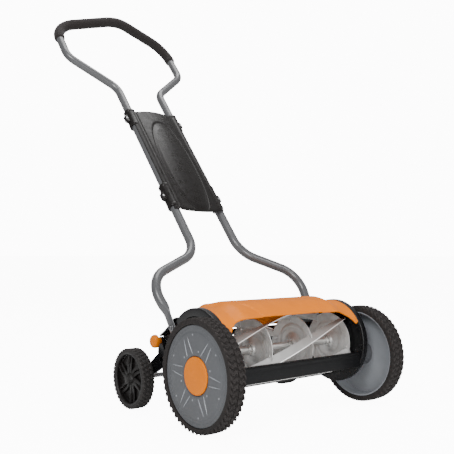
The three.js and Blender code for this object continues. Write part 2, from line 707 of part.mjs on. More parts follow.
// Flat knife under the reel; its front top edge meets the blades.
function bedKnife() {
  const top = -BLADE_TIP_RADIUS - GAP;
  const under = top - KNIFE_THICKNESS;
  const [edge, heel] = [-KNIFE_LEAD, KNIFE_DEPTH - KNIFE_LEAD];
  return plate(polygon([[edge, top], [heel, top], [heel, under], [edge / 2, under]]), -SPAN, SPAN);
}

// Bar under the knife, turned up behind the reel.
function knifeBar() {
  const top = -BLADE_TIP_RADIUS - KNIFE_THICKNESS - 2 * GAP;
  const under = top - KNIFE_BAR_THICKNESS;
  const [front, back] = KNIFE_BAR_RANGE;
  const upstand = back - KNIFE_BAR_THICKNESS + 1;
  const rise = top + KNIFE_BAR_UPSTAND;
  return plate(polygon([[front, top], [upstand, top], [upstand, rise], [back, rise],
    [back, under], [front, under]]), -SPAN, SPAN);
}

add(chassis, 'front_bar', frontBar(), blackPaint);
add(chassis, 'bed_knife', bedKnife(), groundSteel);
add(chassis, 'knife_bar', knifeBar(), blackPaint);
const [tieY, tieZ] = polar(BLADE_TIP_RADIUS + TIE_RADIUS + TIE_CLEARANCE, TIE_ANGLE);
add(chassis, 'tie_rod', bar(TIE_RADIUS, -SPAN, SPAN, tieY, tieZ), blackPaint);

// ---------------------------------------------------------------- chute
// Curved deflector over and behind the reel. Its low ends lie inside the two case rims.
function chute() {
  const half = CASE_INNER - GAP;
  const inFromEnd = (x, [start, end]) => smooth(Math.abs(x), half - start, half - end);
  return matchDiagonals(bentBox(40, 12, 1, (u, v, w) => {
    const x = (2 * u - 1) * half;
    const corner = inFromEnd(x, CHUTE_CORNER);
    const back = CHUTE_BACK_ANGLE + (CHUTE_CORNER_ANGLE - CHUTE_BACK_ANGLE) * corner;
    const front = CHUTE_FRONT_ANGLE
      + (CHUTE_EAR_ANGLE - CHUTE_FRONT_ANGLE) * inFromEnd(x, CHUTE_EAR) ** 1.5;
    const angle = back + (front - back) * v;
    const droop = 0.35 * smooth(angle, CHUTE_CORNER_ANGLE, CHUTE_FRONT_ANGLE); // to the front edge
    const over = smooth(angle, CHUTE_CORNER_ANGLE - 10, CHUTE_CORNER_ANGLE + 10);
    const sunk = corner + (inFromEnd(x, CHUTE_SHOULDER) - corner) * over;
    const lift = CHUTE_RISE * (1 - sunk) * (1 - droop);
    const [y, z] = polar(CASE_RADIUS - CHUTE_SUNK + lift + CHUTE_THICKNESS * w, angle);
    return [x, y, z];
  }));
}

const chuteGroup = groupAt(mower, 0, REEL_Y, REEL_Z);
add(chuteGroup, 'chute', chute(), orangePlastic);

// ---------------------------------------------------------------- rear carriage
const carriage = groupAt(mower, 0, PIVOT_Y, PIVOT_Z);
const REAR_AXLE = [WHEELBASE - PIVOT_Y, REAR_WHEEL_RADIUS - PIVOT_Z];
const REAR_INNER = (REAR_TRACK - REAR_WHEEL_WIDTH) / 2;
const REAR_OUTER = REAR_INNER + REAR_WHEEL_WIDTH;

// Swing arm with the link pin; the one on the knob's side also has the lever.
function rearArm(withLever) {
  const pinAt = polar(ARM_PIN.radius, ARM_PIN.angle);
  const knobAt = polar(KNOB_ARM.radius, KNOB_ARM.angle);
  const [pivotEnd, axleEnd, pinRoot, pinEnd, knobEnd] = ARM_END_RADII;
  const pieces = [
    plate(strap([0, 0, pivotEnd], [...REAR_AXLE, axleEnd]), ARM_X, ARM_FACE),
    plate(strap([0, 0, pinRoot], [...pinAt, pinEnd]), ARM_X, ARM_FACE),
    bar(LINK_PIN_RADIUS, ARM_FACE - 1, LINK_PIN_END, ...pinAt, 16),
  ];
  const holes = [
    bar(PIVOT_TUBE_RADIUS + GAP, ARM_X - CUT, ARM_FACE + CUT),
    bar(REAR_AXLE_RADIUS + GAP, ARM_X - CUT, ARM_FACE + CUT, ...REAR_AXLE),
  ];
  if (withLever) {
    pieces.push(plate(strap([0, 0, pinRoot], [...knobAt, knobEnd]), ARM_X, ARM_FACE));
    holes.push(bar(DETENT_RADIUS, ARM_X - CUT, ARM_FACE + CUT, ...knobAt, 10));
  }
  return cut(join(...pieces), ...holes);
}

// Flat rod from the carriage arm to the wheel carrier, in the arm pin's frame.
function heightLink() {
  const [pinY, pinZ] = polar(ARM_PIN.radius, ARM_PIN.angle);
  const [farY, farZ] = polar(CARRIER_PIN.radius, CARRIER_PIN.angle);
  const reach = [REEL_Y + farY - PIVOT_Y - pinY, REEL_Z + farZ - PIVOT_Z - pinZ];
  const [x0, x1] = [LINK_X, LINK_X + LINK_THICKNESS];
  return cut(
    plate(strap([0, 0, LINK_END_RADIUS], [...reach, LINK_END_RADIUS]), x0, x1),
    bar(LINK_PIN_RADIUS + GAP, x0 - CUT, x1 + CUT, 0, 0, 16),
    bar(LINK_PIN_RADIUS + OPEN_PIVOT_CLEARANCE, x0 - CUT, x1 + CUT, ...reach, 16),
  );
}

// Domed pull knob on a sprung plunger.
function heightKnob() {
  const stem = ARM_FACE + GAP;
  const back = REAR_INNER + KNOB_OUT;
  const front = back + KNOB_LENGTH;
  return turned([
    [WEB_FACE + GAP, 0],
    [WEB_FACE + GAP, PLUNGER_RADIUS],
    [stem, PLUNGER_RADIUS],
    [stem, KNOB_STEM_RADIUS],
    [back, KNOB_STEM_RADIUS],
    [back, KNOB_RADIUS],
    [back + 0.57 * KNOB_LENGTH, KNOB_RADIUS],
    [back + 0.86 * KNOB_LENGTH, 0.76 * KNOB_RADIUS],
    [front, 0],
  ], 24);
}

// Small wheel: treaded ring, spokes and hub.
function rearWheel() {
  const half = REAR_WHEEL_WIDTH / 2;
  const [outer, inner] = [REAR_WHEEL_RADIUS, REAR_WHEEL_RADIUS - REAR_RIM_DEPTH];
  const chamfer = 3;
  const ring = turned([
    [-half, inner],
    [-half, outer - chamfer],
    [-half + chamfer, outer],
    [half - chamfer, outer],
    [half, outer - chamfer],
    [half, inner],
  ], 32);
  const hub = bar(REAR_HUB_RADIUS, -half, half);
  const spokes = [];
  const [root, tip, halfDepth] = [9, 6, 4];
  for (let i = 0; i < REAR_SPOKES; i += 1) {
    const end = polar(inner + REAR_RIM_DEPTH / 3, (360 * i) / REAR_SPOKES);
    spokes.push(plate(strap([0, 0, root], [...end, tip], 4), -halfDepth, halfDepth));
  }
  const bore = bar(REAR_AXLE_RADIUS + GAP, -half - CUT, half + CUT);
  return cut(join(ring, hub, ...spokes), bore);
}

function rearAxleCap() {
  const start = REAR_OUTER + GAP;
  const { radius, thickness } = REAR_CAP;
  const profile = [[start, 0], [start, radius], [start + 0.65 * thickness, radius - 1]];
  return turned([...profile, [start + thickness, 0]], 20);
}

const armReach = ARM_FACE + 1;
add(carriage, 'carriage_pivot_tube', turned([
  [-armReach, PIVOT_TUBE_RADIUS - PIVOT_TUBE_WALL],
  [-armReach, PIVOT_TUBE_RADIUS],
  [armReach, PIVOT_TUBE_RADIUS],
  [armReach, PIVOT_TUBE_RADIUS - PIVOT_TUBE_WALL],
], 24), blackPaint);
add(carriage, 'rear_axle', bar(REAR_AXLE_RADIUS, -REAR_OUTER, REAR_OUTER, ...REAR_AXLE), darkSteel);
for (const [side, sign] of SIDES) {
  add(carriage, `rear_arm_${side}`, sided(rearArm(sign < 0), sign), blackPaint);
  const linkGroup = groupAt(carriage, 0, ...polar(ARM_PIN.radius, ARM_PIN.angle));
  add(linkGroup, `height_link_${side}`, sided(heightLink(), sign), darkSteel);
  const wheelGroup = groupAt(carriage, 0, ...REAR_AXLE);
  const middle = (sign * REAR_TRACK) / 2;
  add(wheelGroup, `rear_wheel_${side}`, rearWheel().translate(middle, 0, 0), blackPlastic);
  add(wheelGroup, `rear_wheel_cap_${side}`, sided(rearAxleCap(), sign), blackPlastic);
}
const knobGroup = groupAt(carriage, 0, ...polar(KNOB_ARM.radius, KNOB_ARM.angle));
add(knobGroup, 'height_knob', sided(heightKnob(), -1), orangePlastic);

// ---------------------------------------------------------------- handle
// Path of straight runs joined by arcs. Corners are [x, y, z, bend radius], and a corner
// with no radius is a plain point of the path.
function bentPath(corners) {
  const points = [new THREE.Vector3(...corners[0])];
  for (let i = 1; i < corners.length - 1; i += 1) {
    const corner = new THREE.Vector3(...corners[i].slice(0, 3));
    const radius = corners[i][3];
    if (!radius) {
      points.push(corner);
      continue;
    }
    const before = new THREE.Vector3(...corners[i - 1].slice(0, 3)).sub(corner).normalize();
    const after = new THREE.Vector3(...corners[i + 1].slice(0, 3)).sub(corner).normalize();
    const half = before.angleTo(after) / 2;
    const centre = before.clone().add(after).normalize().multiplyScalar(radius / Math.sin(half));
    const start = before.clone().multiplyScalar(radius / Math.tan(half)).sub(centre);
    const end = after.clone().multiplyScalar(radius / Math.tan(half)).sub(centre);
    const axis = start.clone().cross(end).normalize();
    const sweep = start.angleTo(end);
    const arcSteps = Math.ceil(sweep / radians(18));
    for (let step = 0; step <= arcSteps; step += 1) {
      const arm = start.clone().applyAxisAngle(axis, (sweep * step) / arcSteps);
      points.push(corner.clone().add(centre).add(arm));
    }
  }
  points.push(new THREE.Vector3(...corners[corners.length - 1].slice(0, 3)));
  return points;
}

// Part of a path between two lengths measured along it.
function slicePath(points, from, to) {
  const kept = [];
  let length = 0;
  for (let i = 1; i < points.length; i += 1) {
    const step = points[i].distanceTo(points[i - 1]);
    for (const mark of [from, to]) {
      if (mark >= length && mark < length + step) {
        kept.push(points[i - 1].clone().lerp(points[i], (mark - length) / step));
      }
    }
    length += step;
    if (length > from && length < to) kept.push(points[i]);
  }
  return kept;
}

function pathLength(points) {
  return points.slice(1).reduce((sum, point, i) => sum + point.distanceTo(points[i]), 0);
}

// Curve that stops exactly at a path's own points, so straight runs take one step.
class Polyline extends THREE.Curve {
  constructor(points) {
    super();
    this.points = points;
  }

  getPoint(t) {
    const at = t * (this.points.length - 1);
    const i = Math.min(Math.floor(at), this.points.length - 2);
    return this.points[i].clone().lerp(this.points[i + 1], at - i);
  }

  getPointAt(u) {
    return this.getPoint(u);
  }

  getTangentAt(u) {
    const last = this.points.length - 1;
    const i = Math.round(u * last);
    const ahead = this.points[Math.min(i + 1, last)].clone().sub(this.points[Math.min(i, last - 1)]);
    const behind = this.points[Math.max(i, 1)].clone().sub(this.points[Math.max(i - 1, 0)]);
    return ahead.normalize().add(behind.normalize()).normalize();
  }
}

function pipe(points, radius, bore, sides, boreSides) {
  const ring = (count, size) => {
    const corners = [];
    for (let i = 0; i < count; i += 1) {
      const [a, b] = polar(size, (360 * i) / count);
      corners.push(new THREE.Vector2(a, b));
    }
    return corners;
  };
  const section = new THREE.Shape(ring(sides, radius));
  section.holes.push(new THREE.Path(ring(boreSides, bore).reverse()));
  const extrudePath = new Polyline(points);
  return new THREE.ExtrudeGeometry(section, { steps: points.length - 1, extrudePath });
}

// Handle frame: origin between the bolts. The slope runs up and back.
const SLOPE = polar(1, HANDLE_SLOPE);
const FOOT_X = CASE_FACE + FOOT_CLEARANCE + FOOT_HALF_THICKNESS;
const onFoot = (x, along) => [x, along * FOOT[0], along * FOOT[1]];
const ELBOW = onFoot(FOOT_X + ELBOW_OUT, ELBOW_UP);
const bendShare = (FOOT_FLAT[1] - FOOT_BEND) / (ELBOW_UP - FOOT_BEND);
const NECK = [NECK_HALF_WIDTH, ELBOW[1] + NECK_RISE * SLOPE[0], ELBOW[2] + NECK_RISE * SLOPE[1]];
const upSlope = ([, y, z], x, along) => [x, y + along * SLOPE[0], z + along * SLOPE[1]];
const SPREAD = upSlope(NECK, NECK_HALF_WIDTH, NECK_LENGTH);
const LOOP_FOOT = upSlope(SPREAD, LOOP_HALF_WIDTH, LOOP_FLARE);
const LOOP_HEAD = upSlope(LOOP_FOOT, LOOP_HALF_WIDTH, LOOP_SIDE);
const CROWN = [0, LOOP_HEAD[1] - LOOP_CROWN_FORWARD, LOOP_HEAD[2] + LOOP_CROWN];

const handle = groupAt(mower, 0, REEL_Y + BOLT[0], REEL_Z + BOLT[1]);

// Lower tube: flattened foot, elbow, neck. It ends where the loop plugs on.
function lowerTube() {
  const corners = [
    onFoot(FOOT_X, -FOOT_TAIL),
    onFoot(FOOT_X, FOOT_BEND / 2),
    [...onFoot(FOOT_X, FOOT_BEND), BEND_RADII.foot],
    onFoot(FOOT_X + ELBOW_OUT * bendShare, FOOT_FLAT[1]),
    [...ELBOW, BEND_RADII.elbow],
    [...NECK, BEND_RADII.elbow],
    upSlope(NECK, NECK_HALF_WIDTH, JOINT_FROM_NECK - GAP / 2),
  ];
  const path = bentPath(corners);
  const tube = closed(pipe(path, TUBE_RADIUS, TUBE_BORE, 10, 5));
  const place = tube.attributes.position;
  for (let i = 0; i < place.count; i += 1) {
    const [x, y, z] = [place.getX(i), place.getY(i), place.getZ(i)];
    const along = y * FOOT[0] + z * FOOT[1];
    const across = z * FOOT[0] - y * FOOT[1];
    const flat = 1 - smooth(along, ...FOOT_FLAT);
    const narrow = THREE.MathUtils.lerp(1, FOOT_HALF_THICKNESS / TUBE_RADIUS, flat);
    const wide = THREE.MathUtils.lerp(1, FOOT_WIDTH / TUBE_RADIUS, flat);
    const newX = FOOT_X + (x - FOOT_X) * narrow;
    const shift = across * (wide - 1);
    place.setXYZ(i, newX, y - FOOT[1] * shift, z + FOOT[0] * shift);
  }
  return cut(tube, bar(BOLT_RADIUS + GAP, CASE_FACE - 2, WHEEL_INNER + 2));
}

const leftCorners = [
  upSlope(NECK, NECK_HALF_WIDTH, JOINT_FROM_NECK + GAP / 2),
  [...SPREAD, BEND_RADII.loop],
  [...LOOP_FOOT, BEND_RADII.loop],
  [...LOOP_HEAD, BEND_RADII.head],
];
const rightCorners = leftCorners.map(([x, ...rest]) => [-x, ...rest]).reverse();
const loopPath = bentPath([...leftCorners, [...CROWN, BEND_RADII.crown], ...rightCorners]);
const loopLength = pathLength(loopPath);
const toSpread = NECK_LENGTH - JOINT_FROM_NECK;
const gripFrom = toSpread + Math.hypot(LOOP_FLARE, LOOP_HALF_WIDTH - NECK_HALF_WIDTH) + GRIP_START;

add(handle, 'upper_loop', pipe(loopPath, TUBE_RADIUS, TUBE_BORE, 10, 5), greyPaint);
const gripPath = slicePath(loopPath, gripFrom, loopLength - gripFrom);
add(handle, 'foam_grip', pipe(gripPath, GRIP_RADIUS, GRIP_BORE, 10, 8), foam);

function handleBolt() {
  const seat = FOOT_X + FOOT_HALF_THICKNESS + GAP;
  const top = seat + BOLT_HEAD.thickness;
  return turned([
    [CASE_INNER - BOLT_TAIL, 0],
    [CASE_INNER - BOLT_TAIL, BOLT_RADIUS],
    [seat, BOLT_RADIUS],
    [seat, BOLT_HEAD.radius],
    [top - BOLT_HEAD.thickness / 3, BOLT_HEAD.radius],
    [top, BOLT_HEAD.radius - 3],
    [top, 0],
  ], 20);
}

for (const [side, sign] of SIDES) {
  add(handle, `lower_tube_${side}`, sided(lowerTube(), sign), greyPaint);
  add(handle, `handle_bolt_${side}`, sided(handleBolt(), sign), darkSteel);
}

// Panel frame: origin on the neck's centre line, Y up the slope, Z out of the panel's face.
const panelGroup = groupAt(handle, 0, NECK[1], NECK[2]);
panelGroup.rotation.x = radians(HANDLE_SLOPE);

// Solid of an (x, z) section running from y0 to y1 in the panel's frame.
function alongSlope(shape, y0, y1, curveSegments = 8) {
  const options = { depth: y1 - y0, bevelEnabled: false, curveSegments };
  return new THREE.ExtrudeGeometry(shape, options).rotateX(Math.PI / 2).translate(0, y1, 0);
}

// Half ring that closes round a neck tube; "up" picks the face side or the back side.
function halfCollar([from, to], sign, up) {
  const rim = new THREE.Shape();
  const bore = TUBE_RADIUS + GAP;
  const [start, end] = up ? [0, Math.PI] : [Math.PI, 2 * Math.PI];
  rim.absarc(0, 0, COLLAR_RADIUS, start, end);
  rim.absarc(0, 0, bore, end, start, true);
  const lift = up ? GAP / 2 : -GAP / 2;
  return alongSlope(rim, from, to, 8).translate(sign * NECK_HALF_WIDTH, 0, lift);
}

// Screw ear on the outer side of a collar half.
function collarEar([from, to], sign, up) {
  const inner = NECK_HALF_WIDTH + TUBE_RADIUS + 1.5;
  const ear = new THREE.BoxGeometry(EAR.width, EAR.length, EAR.thickness);
  const lift = ((up ? 1 : -1) * (EAR.thickness + GAP)) / 2;
  return ear.translate(sign * (inner + EAR.width / 2), (from + to) / 2, lift);
}

// Crowned front panel. Its flanges rest on the tubes' fronts, and the front collar halves
// are moulded on.
function panel() {
  const [tubeX, skin] = [NECK_HALF_WIDTH, PANEL_THICKNESS];
  const seat = TUBE_RADIUS + 2 * GAP; // clear of the tube
  const wrapAngle = Math.asin(PANEL_WRAP / seat);
  const [wrapIn, wrapDown] = [seat * Math.sin(wrapAngle), seat * Math.cos(wrapAngle)];
  const ridge = seat + 2.2 * skin;
  const face = ridge + PANEL_CROWN;
  const outside = [[tubeX + wrapIn + 0.6 * skin, wrapDown + 0.8 * skin], [tubeX + 2, seat + skin],
    [tubeX - 7, ridge], [tubeX / 2, face - 1], [0, face]];
  const inside = [[0, face - skin], [tubeX / 2, face - 1 - skin], [tubeX - 6, ridge - skin],
    [tubeX + 2, seat + 0.1], [tubeX + wrapIn, wrapDown + 0.2]];
  const mirror = (points) => points.map(([x, z]) => [-x, z]).reverse();
  const section = polygon([...outside, ...mirror(outside).slice(1), ...mirror(inside),
    ...inside.slice(1)]);
  const spare = 2 * Math.max(PANEL_TOP_BOW, PANEL_BOTTOM_BOW) + CUT;
  const shell = alongSlope(section, PANEL_START - spare, PANEL_END + spare);
  const outline = new THREE.Shape();
  const wide = tubeX + seat + skin;
  outline.moveTo(-wide, PANEL_START);
  outline.quadraticCurveTo(0, PANEL_START - 2 * PANEL_BOTTOM_BOW, wide, PANEL_START);
  outline.lineTo(wide, PANEL_END);
  outline.quadraticCurveTo(0, PANEL_END + 2 * PANEL_TOP_BOW, -wide, PANEL_END);
  const options = { depth: face + skin, bevelEnabled: false, curveSegments: 10 };
  const blank = new THREE.ExtrudeGeometry(outline, options);
  const trimmed = surface(solid(shell).intersect(solid(blank)));
  const pad = new THREE.Shape();
  const [padMiddle, padHalf] = [(PAD.from + PAD.to) / 2, (PAD.to - PAD.from) / 2];
  pad.absellipse(PAD.x, padMiddle, PAD.halfWidth, padHalf, 0, 2 * Math.PI);
  const bevel = { bevelSize: PAD.rise, bevelThickness: PAD.rise, bevelSegments: 1 };
  const padOptions = { ...bevel, depth: PANEL_CROWN + skin, curveSegments: 12 };
  const base = face - PANEL_CROWN - skin;
  const raised = new THREE.ExtrudeGeometry(pad, padOptions).translate(0, 0, base);
  const halves = [];
  for (const [, sign] of SIDES) {
    for (const collar of COLLARS) {
      halves.push(halfCollar(collar, sign, true), collarEar(collar, sign, true));
    }
  }
  return join(trimmed, raised, ...halves);
}

add(panelGroup, 'handle_panel', panel(), blackPlastic);
for (const [side, sign] of SIDES) {
  COLLARS.forEach((collar, i) => {
    const cap = join(halfCollar(collar, sign, false), collarEar(collar, sign, false));
    add(panelGroup, `collar_cap_${['lower', 'upper'][i]}_${side}`, cap, blackPlastic);
  });
}

// ---------------------------------------------------------------- origin
// The origin is the middle of the overall box, at ground level.
mower.updateMatrixWorld(true);
const overall = new THREE.Box3().setFromObject(mower);
mower.position.set(0, -(overall.min.y + overall.max.y) / 2, -overall.min.z);

export default mower;
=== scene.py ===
"""Looks for a push reel mower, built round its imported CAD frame. Lengths here are millimetres
from the main axle's y, and piece() turns them into the frame's metres."""

import json
import math

import bmesh
import bpy
import numpy as np
from mathutils import Matrix, Vector


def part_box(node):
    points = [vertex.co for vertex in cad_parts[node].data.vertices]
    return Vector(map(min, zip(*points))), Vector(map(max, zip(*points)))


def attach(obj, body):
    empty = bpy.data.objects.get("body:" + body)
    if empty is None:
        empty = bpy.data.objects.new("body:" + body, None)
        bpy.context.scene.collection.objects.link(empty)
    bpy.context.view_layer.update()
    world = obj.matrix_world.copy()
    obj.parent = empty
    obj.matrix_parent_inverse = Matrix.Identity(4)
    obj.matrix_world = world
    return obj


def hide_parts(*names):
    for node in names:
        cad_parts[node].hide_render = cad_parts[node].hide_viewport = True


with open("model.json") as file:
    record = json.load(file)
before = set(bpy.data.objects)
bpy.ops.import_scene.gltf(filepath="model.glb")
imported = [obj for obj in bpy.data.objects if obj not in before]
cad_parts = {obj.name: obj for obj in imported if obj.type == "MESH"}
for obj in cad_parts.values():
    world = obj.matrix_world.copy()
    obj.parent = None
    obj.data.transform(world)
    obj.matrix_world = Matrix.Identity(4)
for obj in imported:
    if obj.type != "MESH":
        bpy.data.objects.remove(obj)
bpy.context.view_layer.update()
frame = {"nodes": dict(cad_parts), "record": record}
NODES = frame["nodes"]
MM = 0.001
tyre_low, tyre_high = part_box("tyre_left")
AXLE_Y = (tyre_low.y + tyre_high.y) / 2 / MM
WHEEL_R = (tyre_high.z - tyre_low.z) / 2 / MM
WHEEL_X = (tyre_low.x + tyre_high.x) / 2 / MM
HALF_TYRE = (tyre_high.x - tyre_low.x) / 2 / MM
AXLE_Z = WHEEL_R
REEL_Y, REEL_Z = 62.0, AXLE_Z + 32
PIVOT_Y, PIVOT_Z = 212.0, REEL_Z - 27
rear_low, rear_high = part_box("rear_wheel_left")
REAR_R = (rear_high.z - rear_low.z) / 2 / MM
REAR_Y = (rear_low.y + rear_high.y) / 2 / MM - AXLE_Y
REAR_X = (rear_low.x + rear_high.x) / 2 / MM
SIDES = (("left", 1), ("right", -1))


# ------------------------------------------------------------------ mesh helpers
def polar(radius, degrees):
    return radius * math.cos(math.radians(degrees)), radius * math.sin(math.radians(degrees))


def smooth(value, start, end):
    t = np.clip((value - start) / (end - start), 0, 1)
    return t * t * (3 - 2 * t)


def fillet(points, radius, steps=3, closed=True):
    """Rounds the corners of a 2D outline. A point may carry its own radius as a third number."""
    made = []
    count = len(points)
    for i, point in enumerate(points):
        here = np.array(point[:2], float)
        own = point[2] if len(point) > 2 else radius
        if not closed and i in (0, count - 1):
            made.append(here)
            continue
        before = np.array(points[i - 1][:2], float) - here
        after = np.array(points[(i + 1) % count][:2], float) - here
        reach = min(own, 0.45 * np.linalg.norm(before), 0.45 * np.linalg.norm(after))
        if reach < 0.02:
            made.append(here)
            continue
        start = here + before / np.linalg.norm(before) * reach
        end = here + after / np.linalg.norm(after) * reach
        for step in range(steps + 1):
            t = step / steps
            made.append(start * (1 - t) ** 2 + 2 * here * t * (1 - t) + end * t * t)
    return [tuple(p) for p in made]


def grid_faces(nu, nv, wrap_u=False, wrap_v=False, flip=False):
    u = np.arange(nu if wrap_u else nu - 1)
    v = np.arange(nv if wrap_v else nv - 1)
    a, b = (m.ravel() for m in np.meshgrid(u, v, indexing="ij"))
    quads = np.stack(
        [a * nv + b, ((a + 1) % nu) * nv + b, ((a + 1) % nu) * nv + (b + 1) % nv, a * nv + (b + 1) % nv], 1
    )
    return quads[:, ::-1] if flip else quads


class Build:
    """Gathers parts of one piece, each with its own material number."""

    def __init__(self):
        self.verts, self.faces, self.marks = [], [], []

    def add(self, verts, faces, mark=0):
        base = sum(len(v) for v in self.verts)
        self.verts.append(np.asarray(verts, float).reshape(-1, 3))
        for face in faces:
            self.faces.append([int(i) + base for i in face])
        if np.ndim(mark):
            self.marks.extend(int(m) for m in mark)
        else:
            self.marks.extend([mark] * len(faces))
        return self

    def grid(self, points, wrap_u=False, wrap_v=False, mark=0):
        points = np.asarray(points, float)
        nu, nv = points.shape[:2]
        return self.add(points.reshape(-1, 3), grid_faces(nu, nv, wrap_u, wrap_v), mark)

    def lathe(self, profile, centre=(0, 0, 0), segments=96, closed=True, mark=0):
        """Turns an [x, radius] profile about the X axis."""
        p = np.array(profile, float)
        turn = np.linspace(0, 2 * math.pi, segments, endpoint=False)[:, None]
        x = np.broadcast_to(p[:, 0], (segments, len(p)))
        points = np.stack([x, p[:, 1] * np.cos(turn), p[:, 1] * np.sin(turn)], -1)
        return self.grid(points + np.array(centre, float), True, closed, mark)

    def slab(self, outline, x0, x1, mark=0):
        """Plate of a (y, z) outline from x0 to x1."""
        n = len(outline)
        near = [(x0, y, z) for y, z in outline]
        far = [(x1, y, z) for y, z in outline]
        sides = [(i, (i + 1) % n, n + (i + 1) % n, n + i) for i in range(n)]
        return self.add(near + far, [range(n)[::-1], range(n, 2 * n), *sides], mark)

    def sweep(self, path, section, mark=0, caps=True, scale=None):
        """Sweeps a closed (a, b) section along a path; scale is a width per point."""
        path = np.array(path, float)
        ahead = np.gradient(path, axis=0)
        ahead /= np.linalg.norm(ahead, axis=1)[:, None]
        side = np.cross(ahead[0], [1.0, 0.2, 0.1])
        side /= np.linalg.norm(side)
        section = np.array(section, float)
        rings = []
        for i, point in enumerate(path):
            side = side - ahead[i] * (side @ ahead[i])
            side /= np.linalg.norm(side)
            up = np.cross(ahead[i], side)
            width = 1 if scale is None else scale[i]
            rings.append(point + width * (section[:, :1] * side + section[:, 1:] * up))
        self.grid(rings, False, True, mark)
        if caps:
            n, last = len(section), (len(path) - 1) * len(section)
            self.faces.append([self.start_of_last() + i for i in range(n)][::-1])
            self.faces.append([self.start_of_last() + last + i for i in range(n)])
            self.marks.extend([mark, mark])
        return self

    def start_of_last(self):
        return sum(len(v) for v in self.verts[:-1])

    def flipped(self):
        """The same piece mirrored to the other side of the mower."""
        other = Build()
        other.verts = [v * [-1, 1, 1] for v in self.verts]
        other.faces = [list(reversed(f)) for f in self.faces]
        other.marks = list(self.marks)
        return other


def piece(name, build, body, materials, replaces=(), bevel=0.0, sharp=38):
    """Makes the mesh, turns its faces outwards and lets it ride on its body."""
    mesh = bpy.data.meshes.new(name)
    points = (np.concatenate(build.verts) + [0, AXLE_Y, 0]) * MM
    mesh.from_pydata(points.tolist(), [], build.faces)
    mesh.polygons.foreach_set("material_index", build.marks)
    for material in materials:
        mesh.materials.append(material)
    bm = bmesh_of(mesh)
    bm.to_mesh(mesh)
    bm.free()
    mesh.shade_smooth()
    mesh.set_sharp_from_angle(angle=math.radians(sharp))
    obj = bpy.data.objects.new(name, mesh)
    bpy.context.scene.collection.objects.link(obj)
    if bevel:
        round_edges(obj, bevel)
    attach(obj, body)
    if replaces:
        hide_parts(*replaces)
    return obj


def bmesh_of(mesh):
    bm = bmesh.new()
    bm.from_mesh(mesh)
    bmesh.ops.recalc_face_normals(bm, faces=bm.faces)
    return bm


def round_edges(obj, width, angle=35):
    bevel = obj.modifiers.new("edges", "BEVEL")
    bevel.width = width * MM
    bevel.segments = 2
    bevel.limit_method = "ANGLE"
    bevel.angle_limit = math.radians(angle)
    bevel.use_clamp_overlap = True
    normals = obj.modifiers.new("normals", "WEIGHTED_NORMAL")
    normals.keep_sharp = True


def sided(build, sign):
    return build if sign > 0 else build.flipped()


def circle(radius, count=24):
    return [polar(radius, 360 * i / count) for i in range(count)]


